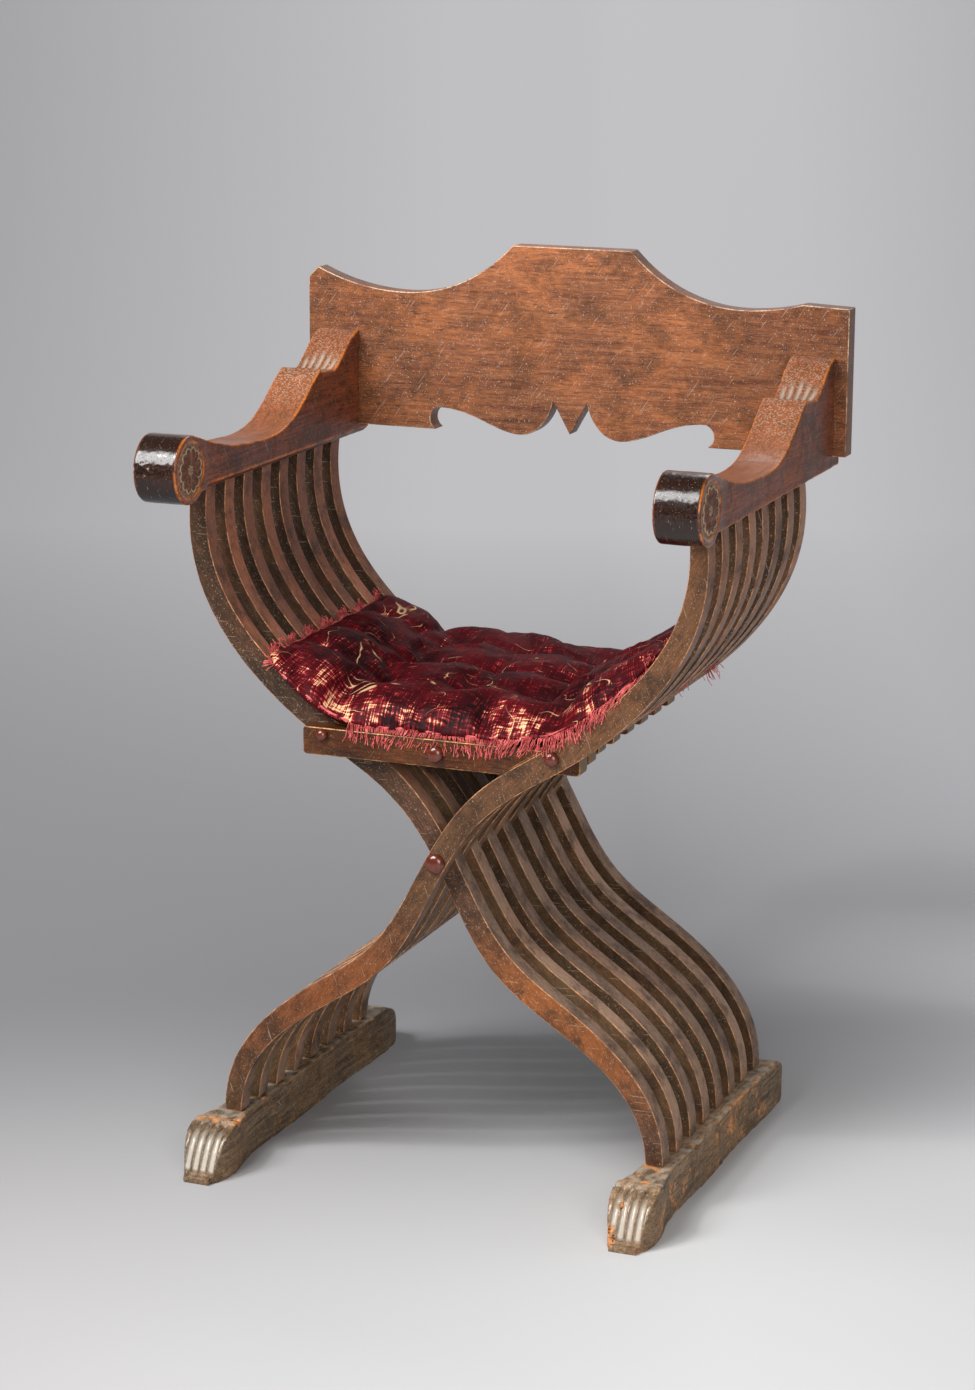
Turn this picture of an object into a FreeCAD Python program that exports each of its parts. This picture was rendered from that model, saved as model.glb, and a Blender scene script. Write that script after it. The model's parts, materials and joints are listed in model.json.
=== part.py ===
import FreeCAD, Part
import math
import os

# Savonarola chair: two sets of eight sawn S-shaped staves cross on one long pin and
# interleave like the fingers of two hands. Each set is tenoned into one arm and, past
# the crossing, into the foot on the other side. Sixteen seat slats hinge between the
# sets. A loose back board stands in slots in the arms, and a loose squab lies in the seat.
# Millimetres and degrees. +X is right as seen from the front, and names say right and
# left the same way; +Y is the back, +Z up. The origin is on the floor, at the middle of
# the chair's width and depth.
SIZES = {
    # stack of layers, counted from the front: odd layers carry the right arm's staves
    "staves_per_arm": 8,
    "stave_thickness": 20.8,
    "layer_gap": 0.4,
    "toe_reach": 80.0,
    "arm_tail_reach": 412.0,
    # heights: the foot and the crossing above the floor, the others above the crossing
    "foot_height": 50.0,
    "crossing_height": 338.0,
    "seat_rod_rise": 117.6,
    "centre_pin_drop": 7.2,
    "arm_rise": 352.0,
    # stave centreline: lean at the crossing, then four arcs
    "crossing_lean_angle": 28.0,
    "seat_bend_radius": 265.0,
    "seat_bend_upper_angle": 36.7,
    "seat_bend_lower_angle": 5.8,
    "arm_arc_radius": 245.0,
    "leg_bend_radius": 257.0,
    "leg_bend_angle": 41.0,
    "ankle_arc_radius": 163.0,
    # stave widths along the centreline
    "foot_end_width": 18.0,
    "ankle_width": 21.5,
    "knee_width": 25.0,
    "leg_bend_width": 24.5,
    "crossing_width": 21.5,
    "seat_bend_width": 24.0,
    "seat_width": 25.5,
    "arm_arc_width": 23.0,
    "arm_end_width": 17.5,
    # tenons
    "tenon_width": 10.0,
    "tenon_thickness": 12.0,
    "tenon_length": 16.0,
    "tenon_clearance": 0.2,
    "mortise_end_gap": 1.0,
    # pins
    "crossing_pin_radius": 5.5,
    "seat_rod_radius": 3.5,
    "pin_clearance": 0.05,
    "seat_rod_set_in": 4.0,
    "head_gap": 0.3,
    "crossing_head_radius": 10.0,
    "centre_head_radius": 8.5,
    "right_head_radius": 7.5,
    "left_head_radius": 6.2,
    "head_height": 6.5,
    "head_rim": 1.8,
    # seat slats
    "slat_height": 28.0,
    "slat_tail": 21.0,
    "slat_corner_radius": 4.0,
    "slat_end_gap": 0.4,
    # arms
    "arm_width": 46.0,
    "arm_set_out": 2.0,
    "scroll_radius": 34.0,
    "scroll_reach": 70.5,
    "scroll_drop": 9.0,
    "scroll_crest_angle": 80.0,
    "rosette_radius": 27.0,
    "rosette_recess": 1.5,
    "arm_valley_thickness": 31.0,
    "arm_lip_height": 84.0,
    "arm_lip_place": 265.0,
    "arm_lip_step": 3.5,
    "arm_ledge_height": 78.0,
    "arm_ledge_length": 35.0,
    "arm_rear_height": 113.0,
    "cheek_width": 28.0,
    "cheek_height": 72.0,
    "cheek_corner_radius": 12.0,
    "underside_chamfer": 6.0,
    # back board
    "board_face_place": 363.0,
    "board_thickness": 22.0,
    "board_slot_clearance": 0.3,
    "board_overhang": 13.0,
    "board_seat_height": 11.0,
    "board_height": 199.0,
    "plateau_half_length": 65.0,
    "plateau_clip": 6.0,
    "board_hollow_depth": 54.5,
    "board_low_place": 187.0,
    "board_peak_rise": 22.5,
    "board_peak_clip": 11.0,
    "board_worn_place": 250.0,
    "board_worn_fall": 2.0,
    "hook_place": 139.5,
    "hook_depth": 18.5,
    "cutout_height": 23.5,
    "tooth_half_width": 19.0,
    "tooth_height": 37.5,
    "tooth_tip_rise": 3.5,
    # feet
    "foot_width": 47.0,
    "foot_tail_reach": 390.0,
    "foot_set_out": 3.0,
    "paw_length": 50.0,
    "toe_lip_height": 7.0,
    "toe_lip_length": 7.0,
    "toe_top_height": 16.0,
    "band_height": 3.0,
    "band_length": 15.0,
    "flute_radius": 3.6,
    "flute_depth": 2.4,
    "flute_spacing": 8.6,
    "foot_heel_length": 42.0,
    "foot_heel_height": 20.0,
    # squab cushion
    "cushion_clearance": 1.0,
    "cushion_depth": 318.0,
    "cushion_front_place": 4.0,
    "cushion_thickness": 32.0,
    "cushion_edge_thickness": 11.0,
    "cushion_tuft_depth": 9.0,
    "cushion_pucker_depth": 3.0,
    "cushion_swell": 1.6,
    "cushion_puffs": 4,
    "cushion_corner_draw": 14.0,
    "cushion_left_rise": 60.0,
    "cushion_right_rise": 96.0,
    "cut_overrun": 5.0,
}

doc = FreeCAD.newDocument("savonarola_chair")
sheet = doc.addObject("Spreadsheet::Sheet", "Sizes")
for row, (alias, value) in enumerate(SIZES.items(), start=1):
    sheet.set(f"A{row}", alias)
    sheet.set(f"B{row}", str(value))
    sheet.setAlias(f"B{row}", alias)
doc.recompute()


def size(alias):
    return float(sheet.get(alias))


STAVES = int(size("staves_per_arm"))
LAYER_PITCH = size("stave_thickness") + size("layer_gap")
STACK_DEPTH = 2 * STAVES * LAYER_PITCH - size("layer_gap")
STACK_FRONT = (size("toe_reach") - size("arm_tail_reach")) / 2
ARM_UNDERSIDE = size("crossing_height") + size("arm_rise")


# a round quarter corner's middle lies this share of its radius inside both its sides
CORNER_SHARE = 1 - math.sqrt(0.5)


def layer_middle(layer):
    """Y of a layer's mid-plane; layers count from 1 at the front."""
    return STACK_FRONT + (layer - 1) * LAYER_PITCH + size("stave_thickness") / 2


def layers_of(side):
    """The right arm's staves and the left-hinged slats fill the odd layers."""
    first = 1 if side == "right" else 2
    return range(first, 2 * STAVES + 1, 2)


# Bodies and sketches


def new_body(label):
    body = doc.addObject("PartDesign::Body", label)
    body.Label = label
    return body


def sketch_on(body, role, name, offset=0.0):
    """Sketch on one of the body's own origin planes, moved along its normal by offset."""
    plane = next(item for item in body.Origin.OriginFeatures if item.Role == role)
    sketch = body.newObject("Sketcher::SketchObject", name)
    sketch.AttachmentSupport = (plane, [""])
    sketch.MapMode = "FlatFace"
    sketch.AttachmentOffset = FreeCAD.Placement(
        FreeCAD.Vector(0, 0, offset), FreeCAD.Rotation()
    )
    return sketch


def flat(point):
    return FreeCAD.Vector(point[0], point[1], 0)


def line(start, end):
    return Part.LineSegment(flat(start), flat(end))


def arc(start, middle, end):
    return Part.Arc(flat(start), flat(middle), flat(end))


def polygon(points):
    return [line(a, b) for a, b in zip(points, points[1:] + points[:1])]


def rectangle(low, high):
    return polygon([low, (high[0], low[1]), high, (low[0], high[1])])


def spline(points):
    curve = Part.BSplineCurve()
    curve.interpolate([flat(point) for point in points])
    return curve


def circle(centre, radius):
    return Part.Circle(flat(centre), FreeCAD.Vector(0, 0, 1), radius)


def pad(body, sketch, name, alias):
    """Pad the sketch to both sides; its length is bound to the sheet."""
    feature = body.newObject("PartDesign::Pad", name)
    feature.Profile = sketch
    feature.Midplane = True
    feature.setExpression("Length", f"Sizes.{alias}")
    return feature


def pocket_through(body, sketch, name):
    feature = body.newObject("PartDesign::Pocket", name)
    feature.Profile = sketch
    feature.Midplane = True
    feature.Type = "ThroughAll"
    return feature


def pocket_to(body, sketch, name, expression, reverse):
    feature = body.newObject("PartDesign::Pocket", name)
    feature.Profile = sketch
    feature.Reversed = reverse
    feature.setExpression("Length", expression)
    return feature


def place(body, x, y, z, turned=False):
    turn = FreeCAD.Rotation(FreeCAD.Vector(0, 0, 1), 180 if turned else 0)
    body.Placement = FreeCAD.Placement(FreeCAD.Vector(x, y, z), turn)
    return body


# Stave shape, in X and Z from the crossing, as a stave of the right arm runs


def follow(start, heading, radius, turn):
    """End point and heading of an arc that turns left by turn, or right if negative."""
    side = math.copysign(1, turn)
    centre_x = start[0] - side * radius * math.sin(heading)
    centre_z = start[1] + side * radius * math.cos(heading)
    heading += turn
    end = (
        centre_x + side * radius * math.sin(heading),
        centre_z - side * radius * math.cos(heading),
    )
    return end, heading


def turn_to_shoulder(start, heading, radius, rise):
    """Left turn of an upright arc that ends rise away, or upright where it is higher."""
    sine = math.cos(heading) - abs(rise) / radius
    upright = math.pi / 2 - abs(heading)
    if sine <= 0:
        return upright
    return math.acos(sine) - abs(heading)


def half_stations(heading, bend, arc_radius, shoulder, widths):
    """Stations from the crossing to one shoulder, with the walk always going up."""
    stations = []
    point = (0.0, 0.0)
    for radius, turn, width in bend:
        middle, middle_heading = follow(point, heading, radius, turn / 2)
        point, heading = follow(point, heading, radius, turn)
        if width[0]:
            stations.append((middle, middle_heading, size(width[0])))
        if width[1]:
            stations.append((point, heading, size(width[1])))
    turn = turn_to_shoulder(point, heading, arc_radius, shoulder - point[1])
    middle, middle_heading = follow(point, heading, arc_radius, turn / 2)
    stations.append((middle, middle_heading, size(widths[0])))
    end, end_heading = follow(point, heading, arc_radius, turn)
    stations.append(((end[0], shoulder), end_heading, size(widths[1])))
    return stations


def stave_stations():
    """Centre points, headings and widths from the foot's shoulder up to the arm's."""
    lean = math.radians(90 - size("crossing_lean_angle"))
    upper_sweep = math.radians(size("seat_bend_upper_angle"))
    lower_sweep = math.radians(size("seat_bend_lower_angle"))
    leg_sweep = math.radians(size("leg_bend_angle"))
    upper = half_stations(
        lean,
        [(size("seat_bend_radius"), -upper_sweep, ("seat_bend_width", "seat_width"))],
        size("arm_arc_radius"),
        size("arm_rise"),
        ("arm_arc_width", "arm_end_width"),
    )
    # the lower half is walked turned half a turn about the crossing
    lower = half_stations(
        lean,
        [
            (size("seat_bend_radius"), lower_sweep, (None, None)),
            (size("leg_bend_radius"), -leg_sweep, ("leg_bend_width", "knee_width")),
        ],
        size("ankle_arc_radius"),
        size("crossing_height") - size("foot_height"),
        ("ankle_width", "foot_end_width"),
    )
    turned = [((-point[0], -point[1]), heading, width) for point, heading, width in lower]
    crossing = [((0.0, 0.0), lean, size("crossing_width"))]
    return turned[::-1] + crossing + upper


def stave_edge(side):
    """Smooth edge through the stations: side 1 is the inner, upper edge, -1 the other."""
    points = []
    for point, heading, width in stave_stations():
        points.append((
            point[0] - side * math.sin(heading) * width / 2,
            point[1] + side * math.cos(heading) * width / 2,
        ))
    # both ends are cut level, so an end point keeps its shoulder's height
    points[0] = (points[0][0], stave_stations()[0][0][1])
    points[-1] = (points[-1][0], stave_stations()[-1][0][1])
    return points


def point_at_height(curve, height):
    """Point of an edge curve at a height above the crossing; the edge always rises."""
    low, high = curve.FirstParameter, curve.LastParameter
    for _ in range(60):
        middle = (low + high) / 2
        if curve.value(middle).y < height:
            low = middle
        else:
            high = middle
    return curve.value(low)


def on_stave(sign, height, gap):
    """Point gap inside the staves' inner edges at a height, and the way up from there."""
    lift = size("crossing_height")
    edge = point_at_height(INNER_EDGE, height - lift)
    tangent = INNER_EDGE.tangent(INNER_EDGE.parameter(edge))[0]
    point = (sign * (edge.x - tangent.y * gap), edge.y + tangent.x * gap + lift)
    return point, (-sign * tangent.y, tangent.x)


INNER_EDGE = spline(stave_edge(1))
OUTER_EDGE = spline(stave_edge(-1))
STAVE_FOOT_X = stave_stations()[0][0][0]
STAVE_ARM_X = stave_stations()[-1][0][0]
SEAT_ROD_HEIGHT = size("crossing_height") + size("seat_rod_rise")
SEAT_ROD_X = (
    point_at_height(INNER_EDGE, size("seat_rod_rise")).x
    + point_at_height(OUTER_EDGE, size("seat_rod_rise")).x
) / 2 - size("seat_rod_set_in")
CENTRE_PIN_HEIGHT = SEAT_ROD_HEIGHT - size("centre_pin_drop")
SLAT_TOP = CENTRE_PIN_HEIGHT + size("slat_height") / 2
SLAT_BOTTOM = CENTRE_PIN_HEIGHT - size("slat_height") / 2


def make_stave(label, side, layer):
    """One sawn stave with pin holes and a tenon at each end; a left one is turned."""
    body = new_body(label)
    outline = sketch_on(body, "XZ_Plane", f"{label}_outline")
    inner, outer = stave_edge(1), stave_edge(-1)
    outline.addGeometry([
        INNER_EDGE, line(inner[-1], outer[-1]), OUTER_EDGE, line(outer[0], inner[0]),
    ])
    outline.addGeometry(circle((0, 0), size("crossing_pin_radius") + size("pin_clearance")))
    rod_hole = size("seat_rod_radius") + size("pin_clearance")
    outline.addGeometry(circle((SEAT_ROD_X, size("seat_rod_rise")), rod_hole))
    pad(body, outline, f"{label}_board", "stave_thickness")
    tenons = sketch_on(body, "XZ_Plane", f"{label}_tenons")
    half = size("tenon_width") / 2
    reach = size("tenon_length")
    top = stave_stations()[-1][0]
    foot = stave_stations()[0][0]
    tenons.addGeometry(rectangle((top[0] - half, top[1]), (top[0] + half, top[1] + reach)))
    tenons.addGeometry(rectangle((foot[0] - half, foot[1] - reach), (foot[0] + half, foot[1])))
    pad(body, tenons, f"{label}_tenon", "tenon_thickness")
    return place(body, 0, layer_middle(layer), size("crossing_height"), side == "left")


def make_slat(label, side, layer):
    """Seat slat: its tail hinges on one set's rod, its far end beds on the other set."""
    body = new_body(label)
    outline = sketch_on(body, "XZ_Plane", f"{label}_outline")
    gap = size("slat_end_gap")
    low, middle, high = [
        on_stave(1, height, gap)[0] for height in (SLAT_BOTTOM, CENTRE_PIN_HEIGHT, SLAT_TOP)
    ]
    low = (low[0], SLAT_BOTTOM)
    high = (high[0], SLAT_TOP)
    radius = size("slat_corner_radius")
    corner = radius * CORNER_SHARE
    tail = -SEAT_ROD_X - size("slat_tail")
    outline.addGeometry([
        line((tail + radius, low[1]), low),
        arc(low, middle, high),
        line(high, (tail + radius, high[1])),
        arc((tail + radius, high[1]), (tail + corner, high[1] - corner), (tail, high[1] - radius)),
        line((tail, high[1] - radius), (tail, low[1] + radius)),
        arc((tail, low[1] + radius), (tail + corner, low[1] + corner), (tail + radius, low[1])),
    ])
    hole = size("seat_rod_radius") + size("pin_clearance")
    outline.addGeometry(circle((-SEAT_ROD_X, SEAT_ROD_HEIGHT), hole))
    outline.addGeometry(circle((0, CENTRE_PIN_HEIGHT), hole))
    pad(body, outline, f"{label}_bar", "stave_thickness")
    return place(body, 0, layer_middle(layer), 0, side == "right")


# Arms, in Y from the front of the stack and Z from the floor


def arm_outline():
    """Side view: scroll, dipped rest, stepped lip, ledge, rear rise and low rear cheek."""
    bottom = ARM_UNDERSIDE
    radius = size("scroll_radius")
    middle = (radius - size("scroll_reach"), bottom - size("scroll_drop") + radius)
    under_y = middle[0] + math.sqrt(radius ** 2 - (middle[1] - bottom) ** 2)
    crest_angle = math.radians(size("scroll_crest_angle"))
    crest = (
        middle[0] + radius * math.cos(crest_angle),
        middle[1] + radius * math.sin(crest_angle),
    )
    valley = bottom + size("arm_valley_thickness")
    lip = (size("arm_lip_place"), bottom + size("arm_lip_height"))
    # hand-picked course of the rest: share of the run, share of the fall or the rise
    fall_shares = [(0.085, 0.72), (0.27, 0.22), (0.44, 0.04)]
    rise_shares = [(0.60, 0.0), (0.73, 0.12), (0.835, 0.4), (0.92, 0.72)]
    run = lip[0] - crest[0]
    rest = [crest]
    rest += [(crest[0] + u * run, valley + v * (crest[1] - valley)) for u, v in fall_shares]
    rest += [(crest[0] + u * run, valley + v * (lip[1] - valley)) for u, v in rise_shares]
    rest.append(lip)
    step = (lip[0], lip[1] - size("arm_lip_step"))
    ledge = (lip[0] + size("arm_ledge_length"), bottom + size("arm_ledge_height"))
    face = (size("board_face_place"), bottom + size("arm_rear_height"))
    rear_rise_shares = [(0.3, 0.32), (0.7, 0.83)]
    rear = [ledge]
    for u, v in rear_rise_shares:
        rear.append((ledge[0] + u * (face[0] - ledge[0]), ledge[1] + v * (face[1] - ledge[1])))
    rear.append(face)
    slot_middle = face[0] + size("board_thickness") / 2
    tail = size("arm_tail_reach")
    cheek = bottom + size("cheek_height")
    corner = size("cheek_corner_radius")
    bulge = corner * CORNER_SHARE
    return [
        line((tail - corner, bottom), (under_y, bottom)),
        arc((under_y, bottom), (middle[0] - radius, middle[1]), crest),
        spline(rest),
        line(lip, step),
        line(step, ledge),
        spline(rear),
        line(face, (slot_middle, face[1])),
        line((slot_middle, face[1]), (slot_middle, cheek)),
        line((slot_middle, cheek), (tail, cheek)),
        line((tail, cheek), (tail, bottom + corner)),
        arc((tail, bottom + corner), (tail - bulge, bottom + bulge), (tail - corner, bottom)),
    ]


def make_arm(label, side):
    """Arm with a board slot, a narrow rear cheek, mortises and a dished scroll end."""
    body = new_body(label)
    sign = 1 if side == "right" else -1
    bottom = ARM_UNDERSIDE
    half = size("arm_width") / 2
    over = size("cut_overrun")
    outline = sketch_on(body, "YZ_Plane", f"{label}_outline")
    outline.addGeometry(arm_outline())
    pad(body, outline, f"{label}_blank", "arm_width")
    slot = sketch_on(body, "YZ_Plane", f"{label}_slot")
    front = size("board_face_place")
    back = front + size("board_thickness") + 2 * size("board_slot_clearance")
    floor = bottom + size("board_seat_height")
    slot.addGeometry(rectangle((front, floor), (back, bottom + size("arm_rear_height") + over)))
    pocket_through(body, slot, f"{label}_board_slot")
    cheeks = sketch_on(body, "XY_Plane", f"{label}_cheeks")
    tail = size("arm_tail_reach") + over
    for flank in (-1, 1):
        near = flank * size("cheek_width") / 2
        far = flank * (half + over)
        cheeks.addGeometry(rectangle((min(near, far), back), (max(near, far), tail)))
    pocket_through(body, cheeks, f"{label}_cheek")
    chamfer = sketch_on(body, "XZ_Plane", f"{label}_chamfer")
    inner = -sign * half
    cut = size("underside_chamfer")
    chamfer.addGeometry(polygon([
        (inner - sign * over, bottom - over),
        (inner + sign * (cut + over), bottom - over),
        (inner - sign * over, bottom + cut + over),
    ]))
    pocket_to(body, chamfer, f"{label}_arris", "Sizes.arm_tail_reach", False)
    mortises = sketch_on(body, "XY_Plane", f"{label}_mortises", bottom - over)
    add_mortises(mortises, side, -sign * size("arm_set_out"))
    depth = "Sizes.tenon_length + Sizes.mortise_end_gap + Sizes.cut_overrun"
    pocket_to(body, mortises, f"{label}_mortise", depth, True)
    centre = (
        size("scroll_radius") - size("scroll_reach"),
        bottom - size("scroll_drop") + size("scroll_radius"),
    )
    for flank, reverse in ((1, False), (-1, True)):
        dish = sketch_on(body, "YZ_Plane", f"{label}_dish_{flank + 1}", flank * half)
        dish.addGeometry(circle(centre, size("rosette_radius")))
        pocket_to(body, dish, f"{label}_rosette_{flank + 1}", "Sizes.rosette_recess", reverse)
    return place(body, sign * (STAVE_ARM_X + size("arm_set_out")), STACK_FRONT, 0)


def add_mortises(sketch, side, centre_x):
    """One rectangle for each stave of the side that the arm or foot holds."""
    reach_x = size("tenon_width") / 2 + size("tenon_clearance")
    reach_y = size("tenon_thickness") / 2 + size("tenon_clearance")
    for layer in layers_of(side):
        middle = layer_middle(layer) - STACK_FRONT
        sketch.addGeometry(rectangle(
            (centre_x - reach_x, middle - reach_y), (centre_x + reach_x, middle + reach_y)
        ))


def make_board():
    """Back board: a raised middle, two hollows, and a cut-out lower edge with a tooth."""
    body = new_body("back_board")
    outline = sketch_on(body, "XZ_Plane", "back_board_outline")
    bottom = ARM_UNDERSIDE + size("board_seat_height")
    top = bottom + size("board_height")
    low = top - size("board_hollow_depth")
    low_x = size("board_low_place")
    end = STAVE_ARM_X + size("arm_set_out") + size("arm_width") / 2 + size("board_overhang")
    plateau = size("plateau_half_length")
    clip = size("plateau_clip")
    shoulder = (plateau + clip, top - clip)
    peak = (end - size("board_peak_clip"), low + size("board_peak_rise"))
    outer_radius = hollow_radius(peak[0] - low_x, peak[1] - low)
    worn = size("board_worn_place")
    worn_height = low + hollow_rise(outer_radius, worn - low_x)

    def hollow(edge_x, edge_z):
        """Arc from the hollow's lowest point to an edge point; it starts level."""
        radius = hollow_radius(abs(edge_x - low_x), edge_z - low)
        middle = (low_x + edge_x) / 2
        return (middle, low + hollow_rise(radius, abs(middle - low_x)))

    def mirrored(point):
        return (-point[0], point[1])

    left_peak = mirrored(peak)
    left_low = (-low_x, low)
    geometry = [
        line((-end, bottom), (-end, peak[1] - size("board_peak_clip"))),
        line((-end, peak[1] - size("board_peak_clip")), left_peak),
        arc(left_peak, mirrored(hollow(*peak)), left_low),
        arc(left_low, mirrored(hollow(*shoulder)), mirrored(shoulder)),
        line(mirrored(shoulder), (-plateau, top)),
        line((-plateau, top), (plateau, top)),
        line((plateau, top), shoulder),
        arc(shoulder, hollow(*shoulder), (low_x, low)),
        arc((low_x, low), hollow(worn, worn_height), (worn, worn_height)),
        line((worn, worn_height), (end, worn_height - size("board_worn_fall"))),
        line((end, worn_height - size("board_worn_fall")), (end, bottom)),
    ]
    half_edge = lower_edge(bottom)
    for sign in (1, -1):
        for kind, points in half_edge:
            course = [(sign * x, z) for x, z in points]
            geometry.append(arc(*course) if kind == "arc" else spline(course))
        hook = half_edge[0][1][0]
        geometry.append(line((sign * end, bottom), (sign * hook[0], hook[1])))
        notch = (sign * size("tooth_half_width"), bottom + size("tooth_height"))
        geometry.append(line(notch, (0, bottom + size("tooth_tip_rise"))))
    outline.addGeometry(geometry)
    pad(body, outline, "back_board_plank", "board_thickness")
    face = size("board_face_place") + size("board_slot_clearance")
    return place(body, 0, STACK_FRONT + face + size("board_thickness") / 2, 0)


def hollow_radius(run, rise):
    return (run ** 2 + rise ** 2) / (2 * rise)


def hollow_rise(radius, run):
    return radius - math.sqrt(radius ** 2 - run ** 2)


def lower_edge(bottom):
    """Right half of the cut-out: a round hollow behind the hook, then a hanging lobe."""
    tip = size("hook_place")
    depth = size("hook_depth")
    height = size("cutout_height")
    notch = (size("tooth_half_width"), bottom + size("tooth_height"))
    # the round hollow behind the hook: share of its depth at its crown, of its height at
    # its deepest point
    crown_share = 0.5
    deep_share = 0.55
    crown = (tip + depth * crown_share, bottom + height)
    # lobe course from the hollow to the notch: share of the run, share of the height
    lobe_shares = [
        (0.15, 0.93), (0.33, 0.64), (0.51, 0.24), (0.63, 0.05),
        (0.73, 0.0), (0.83, 0.16), (0.93, 0.66),
    ]
    run = notch[0] - crown[0]
    lobe = [crown]
    lobe += [(crown[0] + u * run, bottom + v * height) for u, v in lobe_shares]
    lobe.append(notch)
    return [
        ("arc", [(tip, bottom), (tip + depth, bottom + height * deep_share), crown]),
        ("spline", lobe),
    ]


# Feet, in X across and Y from the front of the stack


def make_foot(label, side):
    """Runner foot: paw with four flutes, a raised band, wavy flanks and a round heel."""
    body = new_body(label)
    sign = -1 if side == "right" else 1
    half = size("foot_width") / 2
    front = -size("toe_reach")
    rear = size("foot_tail_reach")
    lip_y = front + size("toe_lip_length")
    over = size("cut_overrun")
    plan = sketch_on(body, "XY_Plane", f"{label}_plan")
    # flank course: share of the length behind the lip, share of the half width
    flank_shares = [
        (0.0, 0.7), (0.045, 0.98), (0.09, 1.0), (0.15, 0.8), (0.28, 0.72),
        (0.45, 0.84), (0.62, 0.78), (0.8, 0.9), (0.92, 0.96), (0.97, 0.86), (1.0, 0.6),
    ]
    length = rear - lip_y
    flank = [(half * v, lip_y + u * length) for u, v in flank_shares]
    other = [(-x, y) for x, y in flank]
    lip_share = 0.62
    lip = half * lip_share
    plan.addGeometry([
        spline(flank),
        spline(other),
        line(flank[-1], other[-1]),
        line(flank[0], (lip, lip_y)),
        line((lip, lip_y), (lip, front)),
        line((lip, front), (-lip, front)),
        line((-lip, front), (-lip, lip_y)),
        line((-lip, lip_y), other[0]),
    ])
    blank = body.newObject("PartDesign::Pad", f"{label}_blank")
    blank.Profile = plan
    blank.setExpression("Length", "Sizes.foot_height + Sizes.band_height")
    slope = cut_foot_profile(body, label, front, lip_y, rear)
    cut_flutes(body, label, slope)
    mortises = sketch_on(body, "XY_Plane", f"{label}_mortises", size("foot_height") + over)
    add_mortises(mortises, side, -sign * size("foot_set_out"))
    depth = "Sizes.tenon_length + Sizes.mortise_end_gap + Sizes.cut_overrun"
    pocket_to(body, mortises, f"{label}_mortise", depth, False)
    return place(body, sign * (abs(STAVE_FOOT_X) + size("foot_set_out")), STACK_FRONT, 0)


def cut_foot_profile(body, label, front, lip_y, rear):
    """Take away what lies above the foot's side view, from the toe lip to the heel."""
    top = size("foot_height")
    crest = top + size("band_height")
    above = crest + size("cut_overrun")
    over = size("cut_overrun")
    paw = lip_y + size("paw_length")
    band = size("band_length")
    heel = rear - size("foot_heel_length")
    # paw back from the lip to the band: share of the run, share of the rise
    paw_shares = [(0.28, 0.5), (0.6, 0.84)]
    toe = (lip_y, size("toe_top_height"))
    knuckle = (paw - band, top)
    slope = [toe]
    for u, v in paw_shares:
        slope.append((toe[0] + u * (knuckle[0] - toe[0]), toe[1] + v * (knuckle[1] - toe[1])))
    slope.append(knuckle)
    heel_end = (rear + over, size("foot_heel_height"))
    # heel's middle point: share of its length, share of its fall
    heel_shares = (0.62, 0.34)
    heel_middle = (
        heel + size("foot_heel_length") * heel_shares[0],
        top - (top - heel_end[1]) * heel_shares[1],
    )
    profile = sketch_on(body, "YZ_Plane", f"{label}_profile")
    profile.addGeometry([
        line((front - over, size("toe_lip_height")), (lip_y, size("toe_lip_height"))),
        line((lip_y, size("toe_lip_height")), toe),
        spline(slope),
        arc(knuckle, ((knuckle[0] + paw) / 2, crest), (paw, top)),
        line((paw, top), (heel, top)),
        arc((heel, top), heel_middle, heel_end),
        line(heel_end, (rear + over, above)),
        line((rear + over, above), (front - over, above)),
        line((front - over, above), (front - over, size("toe_lip_height"))),
    ])
    pocket_through(body, profile, f"{label}_top")
    return slope


def cut_flutes(body, label, slope):
    """Four round flutes follow the paw's curved slope up to the band."""
    radius = size("flute_radius")
    rise = slope[-1][1] - slope[0][1]
    run = slope[-1][0] - slope[0][0]
    chord = math.hypot(rise, run)
    lift = radius - size("flute_depth")
    course = [(y - lift * rise / chord, z + lift * run / chord) for y, z in slope]
    lead = (course[0][0] - radius, course[0][1] - 2 * radius)
    flute_shares = (-1.5, -0.5, 0.5, 1.5)
    for number, share in enumerate(flute_shares, start=1):
        x = share * size("flute_spacing")
        path = sketch_on(body, "YZ_Plane", f"{label}_flute_path_{number}", x)
        path.addGeometry(spline([lead] + course))
        gouge = sketch_on(body, "XY_Plane", f"{label}_gouge_{number}", lead[1])
        gouge.addGeometry(circle((x, lead[0]), radius))
        flute = body.newObject("PartDesign::SubtractivePipe", f"{label}_flute_{number}")
        flute.Profile = gouge
        flute.Spine = (path, ["Edge1"])


# Pins and their turned heads


def make_rod(label, x, z, alias, start, end):
    rod = doc.addObject("Part::Cylinder", label)
    rod.Label = label
    rod.setExpression("Radius", f"Sizes.{alias}")
    rod.Height = end - start
    turn = FreeCAD.Rotation(FreeCAD.Vector(1, 0, 0), -90)
    rod.Placement = FreeCAD.Placement(FreeCAD.Vector(x, start, z), turn)
    return rod


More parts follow.
